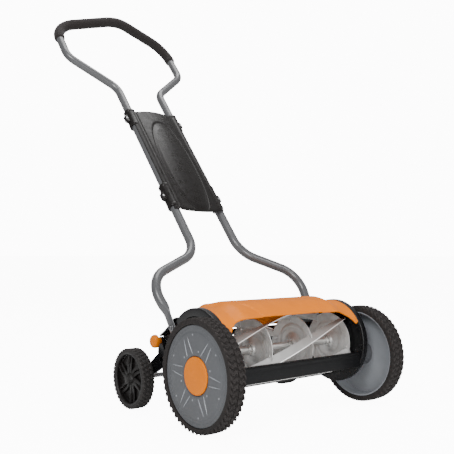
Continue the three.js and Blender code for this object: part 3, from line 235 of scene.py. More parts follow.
# ------------------------------------------------------------------ materials
class Look:
    """Procedural material: nodes read the piece's own coordinates, in metres."""

    def __init__(self, name, color, rough, metal=0.0, coat=0.0, gloss=0.4):
        self.material = bpy.data.materials.new(name)
        self.material.use_nodes = True
        self.tree = self.material.node_tree
        self.tree.nodes.clear()
        self.out = self.tree.nodes.new("ShaderNodeOutputMaterial")
        self.bsdf = self.tree.nodes.new("ShaderNodeBsdfPrincipled")
        self.link(self.bsdf.outputs[0], self.out.inputs[0])
        self.coords = self.tree.nodes.new("ShaderNodeTexCoord").outputs["Object"]
        self.normal = None
        self.set("Base Color", (*color, 1))
        self.set("Roughness", rough)
        self.set("Metallic", metal)
        self.set("Coat Weight", coat)
        self.set("Coat Roughness", 0.12)
        self.set("Specular IOR Level", gloss)

    def link(self, a, b):
        self.tree.links.new(a, b)

    def set(self, socket, value):
        self.bsdf.inputs[socket].default_value = value

    def plug(self, socket, output):
        self.link(output, self.bsdf.inputs[socket])

    def space(self, stretch):
        node = self.tree.nodes.new("ShaderNodeMapping")
        node.inputs["Scale"].default_value = stretch
        self.link(self.coords, node.inputs["Vector"])
        return node.outputs[0]

    def noise(self, size_mm, detail=3.0, stretch=None, rough=0.55):
        node = self.tree.nodes.new("ShaderNodeTexNoise")
        node.inputs["Scale"].default_value = 1000 / size_mm
        node.inputs["Detail"].default_value = detail
        node.inputs["Roughness"].default_value = rough
        self.link(self.space(stretch) if stretch else self.coords, node.inputs["Vector"])
        return node.outputs["Fac"]

    def cells(self, size_mm, feature="F1"):
        node = self.tree.nodes.new("ShaderNodeTexVoronoi")
        node.feature = feature
        node.inputs["Scale"].default_value = 1000 / size_mm
        self.link(self.coords, node.inputs["Vector"])
        return node.outputs["Distance"]

    def rings(self, centre_mm, size_mm, distortion=1.0):
        """Fine rings about an X axis through centre_mm, as left by turning."""
        move = self.tree.nodes.new("ShaderNodeMapping")
        move.inputs["Location"].default_value = [-c * MM for c in centre_mm]
        move.inputs["Scale"].default_value = (0, 1, 1)
        self.link(self.coords, move.inputs["Vector"])
        node = self.tree.nodes.new("ShaderNodeTexWave")
        node.wave_type = "RINGS"
        node.rings_direction = "SPHERICAL"
        node.inputs["Scale"].default_value = 300 / size_mm
        node.inputs["Distortion"].default_value = distortion
        node.inputs["Detail"].default_value = 2
        self.link(move.outputs[0], node.inputs["Vector"])
        return node.outputs["Fac"]

    def worn(self, low=0.52, high=0.6):
        """1 on outer edges of dense meshes, 0 elsewhere."""
        geometry = self.tree.nodes.new("ShaderNodeNewGeometry")
        return self.band(geometry.outputs["Pointiness"], low, high, 0, 1)

    def band(self, value, from_low, from_high, to_low, to_high):
        node = self.tree.nodes.new("ShaderNodeMapRange")
        for socket, number in zip(node.inputs[1:5], (from_low, from_high, to_low, to_high)):
            socket.default_value = number
        self.link(value, node.inputs[0])
        return node.outputs[0]

    def times(self, a, b):
        node = self.tree.nodes.new("ShaderNodeMath")
        node.operation = "MULTIPLY"
        self.link(a, node.inputs[0])
        if isinstance(b, (int, float)):
            node.inputs[1].default_value = b
        else:
            self.link(b, node.inputs[1])
        return node.outputs[0]

    def mix(self, factor, a, b):
        node = self.tree.nodes.new("ShaderNodeMix")
        node.data_type = "RGBA"
        self.link(factor, node.inputs[0])
        for socket, value in ((node.inputs[6], a), (node.inputs[7], b)):
            if isinstance(value, tuple):
                socket.default_value = (*value, 1)
            else:
                self.link(value, socket)
        return node.outputs[2]

    def bump(self, height, depth_mm, strength=1.0):
        node = self.tree.nodes.new("ShaderNodeBump")
        node.inputs["Distance"].default_value = depth_mm * MM
        node.inputs["Strength"].default_value = strength
        self.link(height, node.inputs["Height"])
        if self.normal is not None:
            self.link(self.normal, node.inputs["Normal"])
        self.normal = node.outputs[0]
        self.plug("Normal", self.normal)


def shade(color, factor):
    return tuple(min(1.0, c * factor) for c in color)


def moulded(name, color, rough, grain_mm=0.5, grain_depth=0.02, wear=1.6, coat=0.0, gloss=0.4):
    look = Look(name, color, rough, coat=coat, gloss=gloss)
    base = look.mix(look.band(look.noise(45, 4), 0.3, 0.75, 0, 1), shade(color, 0.93), shade(color, 1.06))
    base = look.mix(look.times(look.worn(), 0.45), base, shade(color, wear))
    specks = look.band(look.noise(2.2, 2), 0.64, 0.72, 0, 0.12)
    look.plug("Base Color", look.mix(specks, base, shade(color, 1.5)))
    look.plug("Roughness", look.band(look.noise(18, 4), 0.3, 0.7, rough - 0.06, rough + 0.08))
    look.bump(look.noise(grain_mm, 2), grain_depth)
    look.bump(look.noise(60, 1), 0.12, 0.5)
    return look.material


def enamel(name, color, rough, peel=0.035, coat=0.4, fleck=1.0, gloss=0.4, chip=0.5):
    look = Look(name, color, rough, coat=coat, gloss=gloss)
    base = look.mix(look.band(look.noise(80, 3), 0.3, 0.7, 0, 1), shade(color, 0.92), shade(color, 1.08))
    if fleck > 1:
        base = look.mix(look.band(look.noise(0.7, 1), 0.55, 0.75, 0, 0.5), base, shade(color, fleck))
    chips = look.times(look.worn(0.54, 0.66), look.band(look.noise(4, 3), 0.5, 0.6, 0, chip))
    look.plug("Base Color", look.mix(chips, base, (0.25, 0.25, 0.26)))
    look.plug("Roughness", look.band(look.noise(30, 4), 0.3, 0.7, rough - 0.05, rough + 0.1))
    look.bump(look.noise(2.4, 2), peel)
    return look.material


def steel(name, color, rough, stretch=(1, 1, 1), grain_mm=0.6, depth=0.01, rings=None, metal=1.0):
    look = Look(name, color, rough, metal=metal)
    grain = look.rings(rings, grain_mm * 2) if rings else look.noise(grain_mm, 3, stretch)
    base = look.mix(look.band(look.noise(25, 4), 0.3, 0.7, 0, 1), shade(color, 0.88), shade(color, 1.08))
    look.plug("Base Color", look.mix(look.times(grain, 0.25), base, shade(color, 0.8)))
    look.plug("Roughness", look.band(grain, 0.2, 0.8, rough - 0.06, rough + 0.1))
    look.bump(grain, depth, 0.6)
    return look.material


def rubber(name, color, rough, grain_mm=0.6):
    look = Look(name, color, rough, gloss=0.28)
    base = look.mix(look.band(look.noise(14, 5), 0.35, 0.7, 0, 1), shade(color, 0.8), shade(color, 1.35))
    dust = look.times(look.worn(0.51, 0.58), look.band(look.noise(6, 3), 0.35, 0.65, 0.2, 0.7))
    look.plug("Base Color", look.mix(dust, base, shade(color, 2.6)))
    look.plug("Roughness", look.band(look.noise(9, 4), 0.3, 0.7, rough - 0.1, rough + 0.08))
    look.bump(look.noise(grain_mm, 3), 0.05)
    look.bump(look.noise(5, 3), 0.15, 0.5)
    return look.material


def foam_look():
    color = (0.008, 0.0062, 0.0058)
    look = Look("grip_foam", color, 0.85, gloss=0.25)
    look.set("Sheen Weight", 0.08)
    look.set("Sheen Roughness", 0.5)
    pores = look.band(look.cells(1.1), 0.15, 0.6, 0, 1)
    base = look.mix(look.band(look.noise(20, 4), 0.3, 0.7, 0, 1), shade(color, 0.8), shade(color, 1.4))
    look.plug("Base Color", look.mix(look.times(pores, 0.5), base, shade(color, 1.9)))
    look.bump(pores, 0.12, 0.7)
    look.bump(look.noise(14, 3), 0.5, 0.4)
    return look.material


REEL_AXIS = (0, REEL_Y + AXLE_Y, REEL_Z)
BLACK = (0.0035, 0.0035, 0.004)
PLASTIC_BLACK = (0.0055, 0.0045, 0.0042)
ORANGE = (0.6, 0.15, 0.0)
MID_GREY = (0.075, 0.079, 0.086)
TUBE_GREY = (0.06, 0.061, 0.064)
LIGHT_STEEL = (0.62, 0.615, 0.6)

black_paint = enamel("black_paint", BLACK, 0.26, peel=0.015, coat=0.12, gloss=0.3, chip=0.15)
bar_paint = enamel("bar_paint", BLACK, 0.42, peel=0.012, coat=0.03, gloss=0.14, chip=0.0)
black_plastic = moulded("black_plastic", PLASTIC_BLACK, 0.42, gloss=0.28)
panel_plastic = moulded("panel_plastic", PLASTIC_BLACK, 0.3, grain_mm=0.9, grain_depth=0.012, gloss=0.25)
orange_plastic = moulded("orange_plastic", ORANGE, 0.36, wear=1.1, gloss=0.12)
chute_plastic = moulded("chute_plastic", ORANGE, 0.4, grain_mm=1.1, grain_depth=0.03, wear=1.1, gloss=0.12)
grey_plastic = moulded("grey_plastic", shade(MID_GREY, 0.86), 0.42, wear=1.3)
# Lighter copy of the wheel grey for the dished back: painted light, so the inner dish reads as lit
dish_painted_lighter = moulded("dish_painted_lighter", shade(MID_GREY, 2.5), 0.45, wear=1.2)
# Lighter, glossier copy of the wheel grey for the spoke ribs and dots: painted highlight
ridge_painted_highlight = moulded("ridge_painted_highlight", shade(MID_GREY, 2.6), 0.2, wear=1.3, coat=0.4)
grey_paint = enamel("grey_paint", TUBE_GREY, 0.34, fleck=1.35)
disc_steel = steel("disc_steel", LIGHT_STEEL, 0.42, rings=REEL_AXIS, grain_mm=1.4, metal=0.75)
shaft_steel = steel("shaft_steel", LIGHT_STEEL, 0.36, stretch=(6, 1, 1), metal=0.85)
blade_steel = steel("blade_steel", (0.36, 0.357, 0.35), 0.5, stretch=(0.06, 1, 1), grain_mm=1.2, metal=0.45)
edge_steel = steel("edge_steel", (0.97, 0.96, 0.94), 0.3, stretch=(8, 1, 1), grain_mm=0.8, metal=0.15)
dark_steel = steel("dark_steel", (0.2, 0.2, 0.205), 0.38)
zinc = steel("zinc_steel", (0.45, 0.45, 0.46), 0.34, grain_mm=0.9)
tyre_rubber = rubber("tyre_rubber", (0.012, 0.0098, 0.0094), 0.78)
small_tyre = rubber("small_tyre", (0.013, 0.0115, 0.011), 0.7)
foam = foam_look()

FINISHES = {
    "black_paint": black_paint,
    "ground_steel": edge_steel,
    "satin_steel": shaft_steel,
    "dark_steel": dark_steel,
    "black_plastic": black_plastic,
    "orange_plastic": orange_plastic,
    "grey_plastic": grey_plastic,
    "tyre_rubber": tyre_rubber,
    "grey_paint": grey_paint,
    "grip_foam": foam,
}
slots = {s["node"]: s["material_slot"] for s in frame["record"]["subparts"]}
for name, node in NODES.items():
    node.data.materials.clear()
    node.data.materials.append(FINISHES[slots[name]])


def finish_cad(names, width=0.5, angle=28):
    """Keeps a CAD node's shape and gives it rounded edges and smooth round faces."""
    for name in names:
        node = NODES[name]
        weld = node.modifiers.new("weld", "WELD")
        weld.merge_threshold = 0.01 * MM
        node.data.shade_smooth()
        round_edges(node, width, angle)


# ------------------------------------------------------------------ main wheels
LUGS = 54
TREAD_DEPTH = 3.8
SEAT = 112.4


def tyre():
    """Drive tyre with two rows of curved diagonal lugs that meet along the middle."""
    per_lug = 14
    turns = np.linspace(0, 2 * math.pi, LUGS * per_lug, endpoint=False)
    half = HALF_TYRE
    side = [(-half + 1.2, SEAT), (-half, SEAT + 2), (-half, SEAT + 4.4), (-half - 0.0, 117.4)]
    wall = [(-half, 118.2), (-half + 0.15, 119.3), (-half + 0.5, 120.6), (-half + 1.1, 121.8)]
    tread = [(x, WHEEL_R - TREAD_DEPTH - 0.0022 * x * x) for x in np.linspace(-half + 2.2, half - 2.2, 34)]
    profile = side + wall + tread
    profile += [(-x, r) for x, r in reversed(side + wall)]
    profile = np.array(profile)
    x, base = profile[:, 0], profile[:, 1]
    across = np.abs(x) / half
    theta = turns[:, None]
    row = np.where(x > 0, 0.5, 0.0)
    sweep = 0.9 * across + 0.3 * np.sin(2 * math.pi * 1.15 * across)
    phase = (LUGS * theta / (2 * math.pi) + row + np.where(x > 0, sweep, -sweep) * 1.0) % 1.0
    lug = smooth(phase, 0.0, 0.13) * (1 - smooth(phase, 0.56, 0.72))
    lug = lug * smooth(across, 0.02, 0.09)
    # Narrow sipe along each lug
    sipe = np.exp(-(((phase - 0.32) / 0.045) ** 2)) * smooth(across, 0.3, 0.42) * (1 - smooth(across, 0.72, 0.82))
    shoulder = 1 - smooth(across, 0.93, 1.0) * 0.35
    reach = np.where(base > 118.0, 1.0, 0.0) * np.where(np.abs(x) >= half - 0.01, 0.25, 1.0)
    raised = base + (lug * TREAD_DEPTH * shoulder - sipe * 1.6 * lug) * reach
    raised = np.minimum(raised, WHEEL_R)
    bulge = lug * smooth(base, 117.5, 121) * smooth(across, 0.9, 0.97) * 0.8
    wide = x + np.sign(x) * np.minimum(bulge, half - np.abs(x))
    points = np.stack([wide + 0 * theta, raised * np.cos(theta), raised * np.sin(theta)], -1)
    made = Build().grid(points, True, False)
    made.lathe([(-half + 1.2, SEAT), (half - 1.2, SEAT)], segments=96, closed=False)
    # Moulded ring on each wall
    for sign in (-1, 1):
        ring = [(sign * (half - 0.3), 116.6), (sign * (half + 0.0), 117.0), (sign * (half - 0.3), 117.6)]
        made.lathe(ring, segments=180, closed=False)
    return made


def wheel():
    """Moulded wheel: outer face with a step, tapered pressed spokes and a dished back."""
    face = HALF_TYRE - 3
    made = Build()
    profile = fillet(
        [
            (-12, 8.4), (-12, 30), (face - 8.5, 30, 3), (face - 8.5, 104, 3), (-19, 108.2, 1.2),
            (-19, 112, 0.6),
            (face - 1.6, 112, 0.8), (face - 0.7, 110.6, 0.8), (face - 1.0, 97, 1.5), (face, 94.5, 1.5),
            (face - 0.2, 70, 12), (face, 47, 3), (face - 1.2, 44, 0.8), (face - 4, 43.2), (face - 4, 8.4),
        ],
        0.8,
        4,
    )
    # Faces of the dished back take the lighter grey: painted light on the inner dish
    back = [int(point[0] < face - 8.2 and point[1] > 31) for point in profile]
    made.lathe(profile, segments=240, mark=back * 240)
    # Fine circle in the outer ring
    made.lathe([(face - 0.75, 102.8), (face - 0.4, 103.5), (face - 0.75, 104.2)], segments=240, closed=False)
    for spoke in range(6):
        middle = 65 + 60 * spoke
        for edge in (-1, 1):
            inner = polar(48, middle + edge * 13)
            outer = polar(89, middle + edge * 4.3)
            # Ribs take the lighter grey: painted highlight along each rib
            made.add(*ridge(inner, outer, face - 0.3, 1.7, 2.2), 2)
        # Small dots near the rib ends in the lighter grey: painted highlight glints
        for radius, turn in ((93, 18), (58, -24)):
            y, z = polar(radius - 3, middle + turn)
            made.lathe(
                [(face - 0.3, 2.3), (face + 0.25, 1.9), (face + 0.45, 1.1), (face + 0.5, 0.01)],
                (0, y, z), 16, closed=False, mark=2,
            )
    return made


def ridge(start, end, x, width, height, steps=18, ribs=8):
    """Thin raised rib on a wheel's face that fades out at both ends."""
    start, end = np.array(start), np.array(end)
    along = (end - start) / np.linalg.norm(end - start)
    across = np.array([-along[1], along[0]])
    t = np.linspace(0, 1, steps)
    fade = np.sqrt(np.clip(1 - (2 * t - 1) ** 2, 0, 1)) * (1 - 0.35 * t)
    turn = np.linspace(0, math.pi, ribs)
    points = []
    for i in range(steps):
        middle = start + (end - start) * t[i]
        size = max(fade[i], 0.05)
        ring = [middle + across * width * size * math.cos(a) for a in turn]
        points.append([(x + height * size * math.sin(a), p[0], p[1]) for a, p in zip(turn, ring)])
    grid = np.array(points)
    return grid.reshape(-1, 3), grid_faces(steps, ribs)


def hub_cap():
    face = HALF_TYRE - 3
    return Build().lathe(
        fillet(
            [
                (face - 3.6, 0.01), (face - 3.6, 42), (face - 0.1, 42), (face + 1.6, 39.6, 1.5),
                (face + 1.3, 38.2, 0.4),
                (face + 1.5, 36.8, 0.4), (face + 2.3, 18, 8), (face + 2.4, 0.01),
            ],
            0.6, 4, closed=False,
        ),
        segments=160, closed=False,
    )


def shifted(build, x, y, z):
    """A copy of the piece moved to its place."""
    other = Build()
    other.verts = [v + [x, y, z] for v in build.verts]
    other.faces, other.marks = build.faces, build.marks
    return other


tyre_build, wheel_build, cap_build = tyre(), wheel(), hub_cap()
# Second look paints light on the dished back; third paints highlights on the ribs and dots
wheel_looks = [grey_plastic, dish_painted_lighter, ridge_painted_highlight]
for side, sign in SIDES:
    for name, source, looks, slot_name in (
        ("tyre", tyre_build, [tyre_rubber], "tyre_rubber"),
        ("wheel", wheel_build, wheel_looks, "grey_plastic"),
        ("hub_cap", cap_build, [orange_plastic], "orange_plastic"),
    ):
        made = sided(shifted(source, WHEEL_X, 0, AXLE_Z), sign)
        piece(f"{name}_{side}_look", made, f"{side}_wheel", looks, [f"{name}_{side}"], sharp=32)

# ------------------------------------------------------------------ reel
CASE_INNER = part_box("side_plate_left")[0].x / MM
BLADE_TIP = 84.0
BLADE_HALF = CASE_INNER - 8
BLADE_TWIST = 108.0
BLADE_COUNT = 5


def blade(number, steps=110):
    """Helical strip: satin faces and a bright ground land along its cutting edge."""
    root_r = BLADE_TIP - math.sqrt(23**2 / 2)
    section = [
        (0, 0.5), (0.5, 0), (18.6, 0), (21.4, 0.25), (23.0, 0.7), (23.0, 1.4), (19.6, 3.0), (0.5, 3.0),
        (0, 2.5)
    ]
    bright = (0, 0, 0, 1, 1, 1, 0, 0, 0)
    rings = []
    for u in np.linspace(-1, 1, steps):
        x = u * BLADE_HALF
        angle = 185.5 - BLADE_TWIST * u / 2 + 360 * number / BLADE_COUNT
        tip = np.array(polar(BLADE_TIP - 0.3, angle))
        root = np.array(polar(root_r, angle - 14))
        along = (tip - root) / np.linalg.norm(tip - root)
        chord = np.linalg.norm(tip - root) / 23.0
        normal = np.array([-along[1], along[0]])
        rings.append(
            [
                (x, REEL_Y + p[0], REEL_Z + p[1]) for p in (
                    root + along * a * chord + normal * b for a, b in section
                )
            ]
        )
    made = Build()
    made.grid(rings, False, True, [bright[j] for i in range(steps - 1) for j in range(len(section))])
    n = len(section)
    made.faces += [list(range(n))[::-1], [(steps - 1) * n + i for i in range(n)]]
    made.marks += [0, 0]
    return made


def reel_disc(x):
    profile = [
        (-9, 8.6), (-9, 14.6), (-3.5, 15.4, 1.5), (-1.5, 19, 2), (0.5, 24, 2), (4.4, 32, 3), (4.7, 44, 2),
        (3.6, 47, 1.2),
        (3.6, 52, 1.2), (4.5, 55, 1.2), (-0.3, 73, 2), (-0.6, 75, 0.6), (1.8, 75, 0.6), (2.4, 73, 1.5),
        (7.4, 57, 2), (7.4, 31, 2),
        (9, 24, 1.5), (9, 14.6), (9, 8.6),
    ]
    made = Build().lathe(fillet(profile, 0.5, 4), (x, REEL_Y, REEL_Z), 140)
    # Rivets that hold each blade to the dished rim
    for number in range(BLADE_COUNT):
        angle = 185.5 - BLADE_TWIST * x / (2 * BLADE_HALF) + 72 * number - 14
        y, z = polar(62.5, angle)
        made.lathe(
            [(-1.2, 0.01), (-1.2, 2.2), (0.8, 3.1), (2.6, 3.1)], (x + 1.5, REEL_Y + y, REEL_Z + z), 14,
            closed=False
        )
    return made


DISC_COUNT = 4
DISC_PITCH = 138.6  # from disc to disc along the reel


def disc_x(number):
    return (number - (DISC_COUNT - 1) / 2) * DISC_PITCH


for number in range(BLADE_COUNT):
    piece(
        f"reel_blade_{number + 1}_look", blade(number), "reel", [blade_steel, edge_steel],
        [f"reel_blade_{number + 1}"], sharp=30,
    )
for number in range(DISC_COUNT):
    x = disc_x(number)
    piece(
        f"reel_disc_{number + 1}_look", reel_disc(x), "reel", [disc_steel],
        [f"reel_disc_{number + 1}"]
    )
shaft_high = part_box("reel_shaft")[1]
tip = shaft_high.x / MM
half_profile = [(tip, 0.01), (tip, 5.4), (tip - 0.8, 6), (225, 6), (225, 8.2), (224.2, 8.2)]
for number in (3, 2):
    x = disc_x(number)
    half_profile += [(x + 17, 8.2), (x + 17, 11.2), (x + 16.4, 11.8), (x + 9.8, 11.8), (x + 9.4, 8.2)]
    half_profile += [(x - 9.4, 8.2), (x - 9.8, 11.8), (x - 16.4, 11.8), (x - 17, 11.2), (x - 17, 8.2)]
profile = half_profile + [(-x, r) for x, r in reversed(half_profile)]
shaft = Build().lathe([(x, r) for x, r in profile], (0, REEL_Y, REEL_Z), 48, closed=False)
for number in range(DISC_COUNT):
    for offset in (-13, 13):
        x = disc_x(number) + offset
        for turn in (205, 25):
            y, z = polar(12.4, turn)
            shaft.sweep(
                [(x, REEL_Y + y * 0.7, REEL_Z + z * 0.7), (x, REEL_Y + y * 1.16, REEL_Z + z * 1.16)],
                circle(2.4, 12)
            )
piece("reel_shaft_look", shaft, "reel", [shaft_steel], ["reel_shaft"])

# ------------------------------------------------------------------ side plates
CASE_FACE = CASE_INNER + 18
CASE_R = BLADE_TIP + 26
WEB_FACE = CASE_INNER + 3
BOLT_Y, BOLT_Z = 152.0, AXLE_Z + 89
FOOT_DIR = polar(1, 56)


def side_plate(with_detents):
    """Pressed plate: round case with a rolled rim, web, rear bracket, boss, stop pin."""
    made = Build()
    centre = (0, REEL_Y, REEL_Z)
    made.lathe(
        fillet(
            [
                (CASE_INNER, 16.4), (CASE_INNER, CASE_R, 2), (CASE_FACE - 1, CASE_R, 2),
                (CASE_FACE, CASE_R - 2, 1.5),
                (CASE_FACE, 90.5), (CASE_FACE - 3, 90.5), (CASE_FACE - 3, CASE_R - 3, 2),
                (WEB_FACE, CASE_R - 3, 3),
                (WEB_FACE, 16.4),
            ],
            0.5, 4,
        ),
        centre, 200,
    )
    # Pressed bead round the web and a raised boss about the bearing
    made.lathe(
        [(CASE_INNER + 0.1, 62), (CASE_INNER - 1.2, 65), (CASE_INNER - 1.2, 71), (CASE_INNER + 0.1, 74)],
        centre, 160, closed=False
    )
    made.lathe(
        [(CASE_INNER + 0.1, 36), (CASE_INNER - 1.0, 33.5), (CASE_INNER - 1.0, 22)], centre, 120,
        closed=False
    )
    crest = np.array(polar(CASE_R - 1, 50)) + [REEL_Y, REEL_Z]
    heel = np.array(polar(CASE_R - 1, -34)) + [REEL_Y, REEL_Z]
    edge = [
        tuple(crest), (BOLT_Y - 1, BOLT_Z + 24, 12), (BOLT_Y + 36, BOLT_Z - 8, 16),
        (PIVOT_Y + 2, PIVOT_Z + 60, 20),
        (PIVOT_Y + 24, PIVOT_Z + 40, 8),
    ]
    bracket = [
        (REEL_Y + 40, REEL_Z), tuple(heel), (PIVOT_Y - 12, PIVOT_Z - 25, 10), (PIVOT_Y + 14, PIVOT_Z - 17, 8),
        (PIVOT_Y + 26, PIVOT_Z + 8, 8), *reversed(edge),
    ]
    made.slab(fillet(bracket, 2, 5), CASE_INNER + 0.15, WEB_FACE - 0.1)
    rim = fillet(edge[:4], 2, 6, closed=False)
    inner = [(y - 2.2, z - 3.2) for y, z in rim]
    made.slab(rim + inner[::-1], CASE_INNER + 0.2, CASE_FACE - 0.2)
    made.lathe(
        fillet(
            [(WEB_FACE - 1, 0.01), (WEB_FACE - 1, 13), (CASE_FACE, 13, 1.2), (CASE_FACE, 0.01)], 0.8, 3,
            False
        ),
        (0, BOLT_Y, BOLT_Z), 40, False
    )
    stop_y = BOLT_Y - 8 * FOOT_DIR[0] - 16.9 * FOOT_DIR[1]
    stop_z = BOLT_Z - 8 * FOOT_DIR[1] + 16.9 * FOOT_DIR[0]
    made.lathe(
        [(CASE_FACE - 1, 3.5), (CASE_FACE + 5.6, 3.5), (CASE_FACE + 6.4, 2.7), (CASE_FACE + 6.4, 0.01)],
        (0, stop_y, stop_z), 24, False
    )
    if with_detents:
        for step in (-16, -8, 0, 9, 18, 26):
            y, z = polar(45.3, 83.7 + step)
            made.lathe(
                [
                    (WEB_FACE - 0.4, 0.01), (WEB_FACE + 0.05, 3.4), (WEB_FACE + 0.12, 4.0),
                    (WEB_FACE - 0.2, 4.3)
                ],
                (0, PIVOT_Y + y, PIVOT_Z + z), 20, False, 1
            )
    return made


for side, sign in SIDES:
    piece(
        f"side_plate_{side}_look", sided(side_plate(sign < 0), sign), "chassis", [black_paint, dark_steel],
        [f"side_plate_{side}"], sharp=32,
    )

SPAN = CASE_INNER - 0.4
bar_back, bar_top = REEL_Y - 85.0, REEL_Z - 23.0
bar_front, bar_foot = bar_back - 14, bar_top - 38
outline = fillet(
    [
        (bar_back, bar_top, 0.6), (bar_front + 4, bar_top, 3), (bar_front, bar_top - 4.5, 3.5),
        (bar_front + 1.2, bar_top - 9, 1.5),
        (bar_front, bar_top - 12, 2), (bar_front, bar_foot, 2.4), (bar_front + 9, bar_foot, 0.8),
        (bar_front + 9, bar_foot + 2.4, 0.6),
        (bar_front + 2.4, bar_foot + 2.4, 1.5), (bar_front + 2.4, bar_top - 4.5, 2),
        (bar_front + 5, bar_top - 2.4, 2), (bar_back, bar_top - 2.4, 0.6),
    ],
    1, 4,
)
front_bar = Build().slab(outline, -SPAN, SPAN)
piece("front_bar_look", front_bar, "chassis", [bar_paint], ["front_bar"], sharp=30)

finish_cad(["bed_knife", "knife_bar", "tie_rod"], 0.4)
finish_cad(["rear_arm_left", "rear_arm_right", "height_link_left", "height_link_right"], 0.7)
finish_cad(
    [
        f"{n}_{s}" for n in (
            "wheel_carrier", "reel_bearing", "ratchet_ring", "pawl_plate"
        ) for s in ("left", "right")
    ],
    0.5
)
finish_cad([f"{n}_{s}" for n in ("sprocket_axle", "reel_sprocket", "chain") for s in ("left", "right")], 0.25)
finish_cad(["carriage_pivot_tube", "rear_axle"], 0.3)

# ------------------------------------------------------------------ chute
CHUTE_HALF = CASE_INNER - 0.4


def chute_points(count_x, count_v, thickness):
    """Outer surface of the deflector as [x][v] points, moved out by thickness."""
    x = np.linspace(-CHUTE_HALF, CHUTE_HALF, count_x)[:, None]
    v = np.linspace(0, 1, count_v)[None, :]
    ax = np.abs(x)
    end = CHUTE_HALF - ax
    corner = 1 - smooth(end, 8, 40)
    ear = np.clip((54 - end) / 42, 0, 1) ** 2.2
    back = 20 + 58 * corner
    front = 131.6 + 16.9 * ear + 0.6 * smooth(ax, 60, 160) * (1 - ear)
    angle = back + (front - back) * v
    over = smooth(angle, 68, 88)
    middle = 1 - (corner + (smooth(ax, 150, 190) - corner) * over)
    lift = 14.3 * middle * (1 - 0.35 * smooth(angle, 78, 132))
    # Pressed step that runs diagonally from the back corner to the front middle
    line = 128 - 26 * smooth(angle, 101, 128)
    step = 1 - smooth(ax - line, -2.5, 2.5)
    lift = lift + 1.7 * step * smooth(angle, 94, 101) * (0.4 + 0.6 * smooth(angle, 98, 108)) - 0.9 * middle
    # Stiffening swage along the front lip and a shallow one at the back
    lift = lift + 0.9 * np.exp(-(((front - angle - 2) / 1.1) ** 2)) * middle
    lift = lift - 0.6 * np.exp(-(((angle - 88) / 1.6) ** 2)) * smooth(ax, 165, 185)
    radius = CASE_R - 4.4 + lift + thickness
    return np.stack(
        [x + 0 * v, REEL_Y + radius * np.cos(np.radians(angle)), REEL_Z + radius * np.sin(np.radians(angle))],
        -1
    )


chute = Build()
outer, inner = chute_points(190, 100, 3.0), chute_points(190, 100, 0.0)
shell = np.concatenate([outer, inner[:, ::-1]], axis=1)
chute.grid(shell, False, True)
n = shell.shape[1]
chute.faces += [list(range(n))[::-1], [189 * n + i for i in range(n)]]
chute.marks += [0, 0]
# Rounded, thickened tip on each front corner
for sign in (1, -1):
    path = [
        (sign * (CHUTE_HALF - 8), REEL_Y + polar(107.2, a)[0], REEL_Z + polar(107.2, a)[1])
        for a in np.linspace(140, 150.5, 8)
    ]
    section = fillet([(-2.2, -6.5), (2.2, -6.5), (2.2, 6.5), (-2.2, 6.5)], 2, 4)
    chute.sweep(path, section, scale=[0.5, 0.8, 0.95, 1, 1.02, 1.0, 0.85, 0.5])
piece("chute_look", chute, "chute_shell", [chute_plastic], ["chute"], sharp=45)

# ------------------------------------------------------------------ handle
SLOPE = polar(1, 51.1)
FOOT_X = CASE_FACE + 0.7 + 3.2
TUBE = 12.7


def on_foot(x, along):
    return (x, BOLT_Y + along * FOOT_DIR[0], BOLT_Z + along * FOOT_DIR[1])


def up_slope(point, x, along):
    return (x, point[1] + along * SLOPE[0], point[2] + along * SLOPE[1])


ELBOW = on_foot(FOOT_X + 19, 137)
NECK_X, LOOP_X = 79.0, 217.0
NECK = (NECK_X, ELBOW[1] + 85 * SLOPE[0], ELBOW[2] + 85 * SLOPE[1])
SPREAD = up_slope(NECK, NECK_X, 678)
LOOP_FOOT = up_slope(SPREAD, LOOP_X, 124)
LOOP_HEAD = up_slope(LOOP_FOOT, LOOP_X, 158)
CROWN = (0, LOOP_HEAD[1] - 30, LOOP_HEAD[2] + 55)
JOINT = 204.0


def bent_path(corners, gap=9.0):
    """Straight runs joined by arcs, as points a few millimetres apart."""
    raw = [np.array(corners[0][:3], float)]
    for i in range(1, len(corners) - 1):
        corner = np.array(corners[i][:3], float)
        radius = corners[i][3]
        before = np.array(corners[i - 1][:3], float) - corner
        after = np.array(corners[i + 1][:3], float) - corner
        before /= np.linalg.norm(before)
        after /= np.linalg.norm(after)
        half = math.acos(np.clip(before @ after, -1, 1)) / 2
        middle = (before + after) / np.linalg.norm(before + after) * radius / math.sin(half)
        start = before * radius / math.tan(half) - middle
        end = after * radius / math.tan(half) - middle
        sweep = math.acos(np.clip(start @ end / radius**2, -1, 1))
        count = max(4, int(sweep * radius / 5))
        for step in range(count + 1):
            t = step / count
            arm = (start * math.sin((1 - t) * sweep) + end * math.sin(t * sweep)) / math.sin(sweep)
            raw.append(corner + middle + arm)
    raw.append(np.array(corners[-1][:3], float))
    return resample(np.array(raw), gap)


def resample(points, gap):
    lengths = np.concatenate([[0], np.cumsum(np.linalg.norm(np.diff(points, axis=0), axis=1))])
    marks = np.linspace(0, lengths[-1], max(3, int(lengths[-1] / gap)))
    return np.stack([np.interp(marks, lengths, points[:, k]) for k in range(3)], 1)


def path_length(points):
    return np.linalg.norm(np.diff(points, axis=0), axis=1).sum()


def cut_path(points, start, end, gap):
    lengths = np.concatenate([[0], np.cumsum(np.linalg.norm(np.diff(points, axis=0), axis=1))])
    marks = np.linspace(start, end, max(3, int((end - start) / gap)))
    return np.stack([np.interp(marks, lengths, points[:, k]) for k in range(3)], 1)


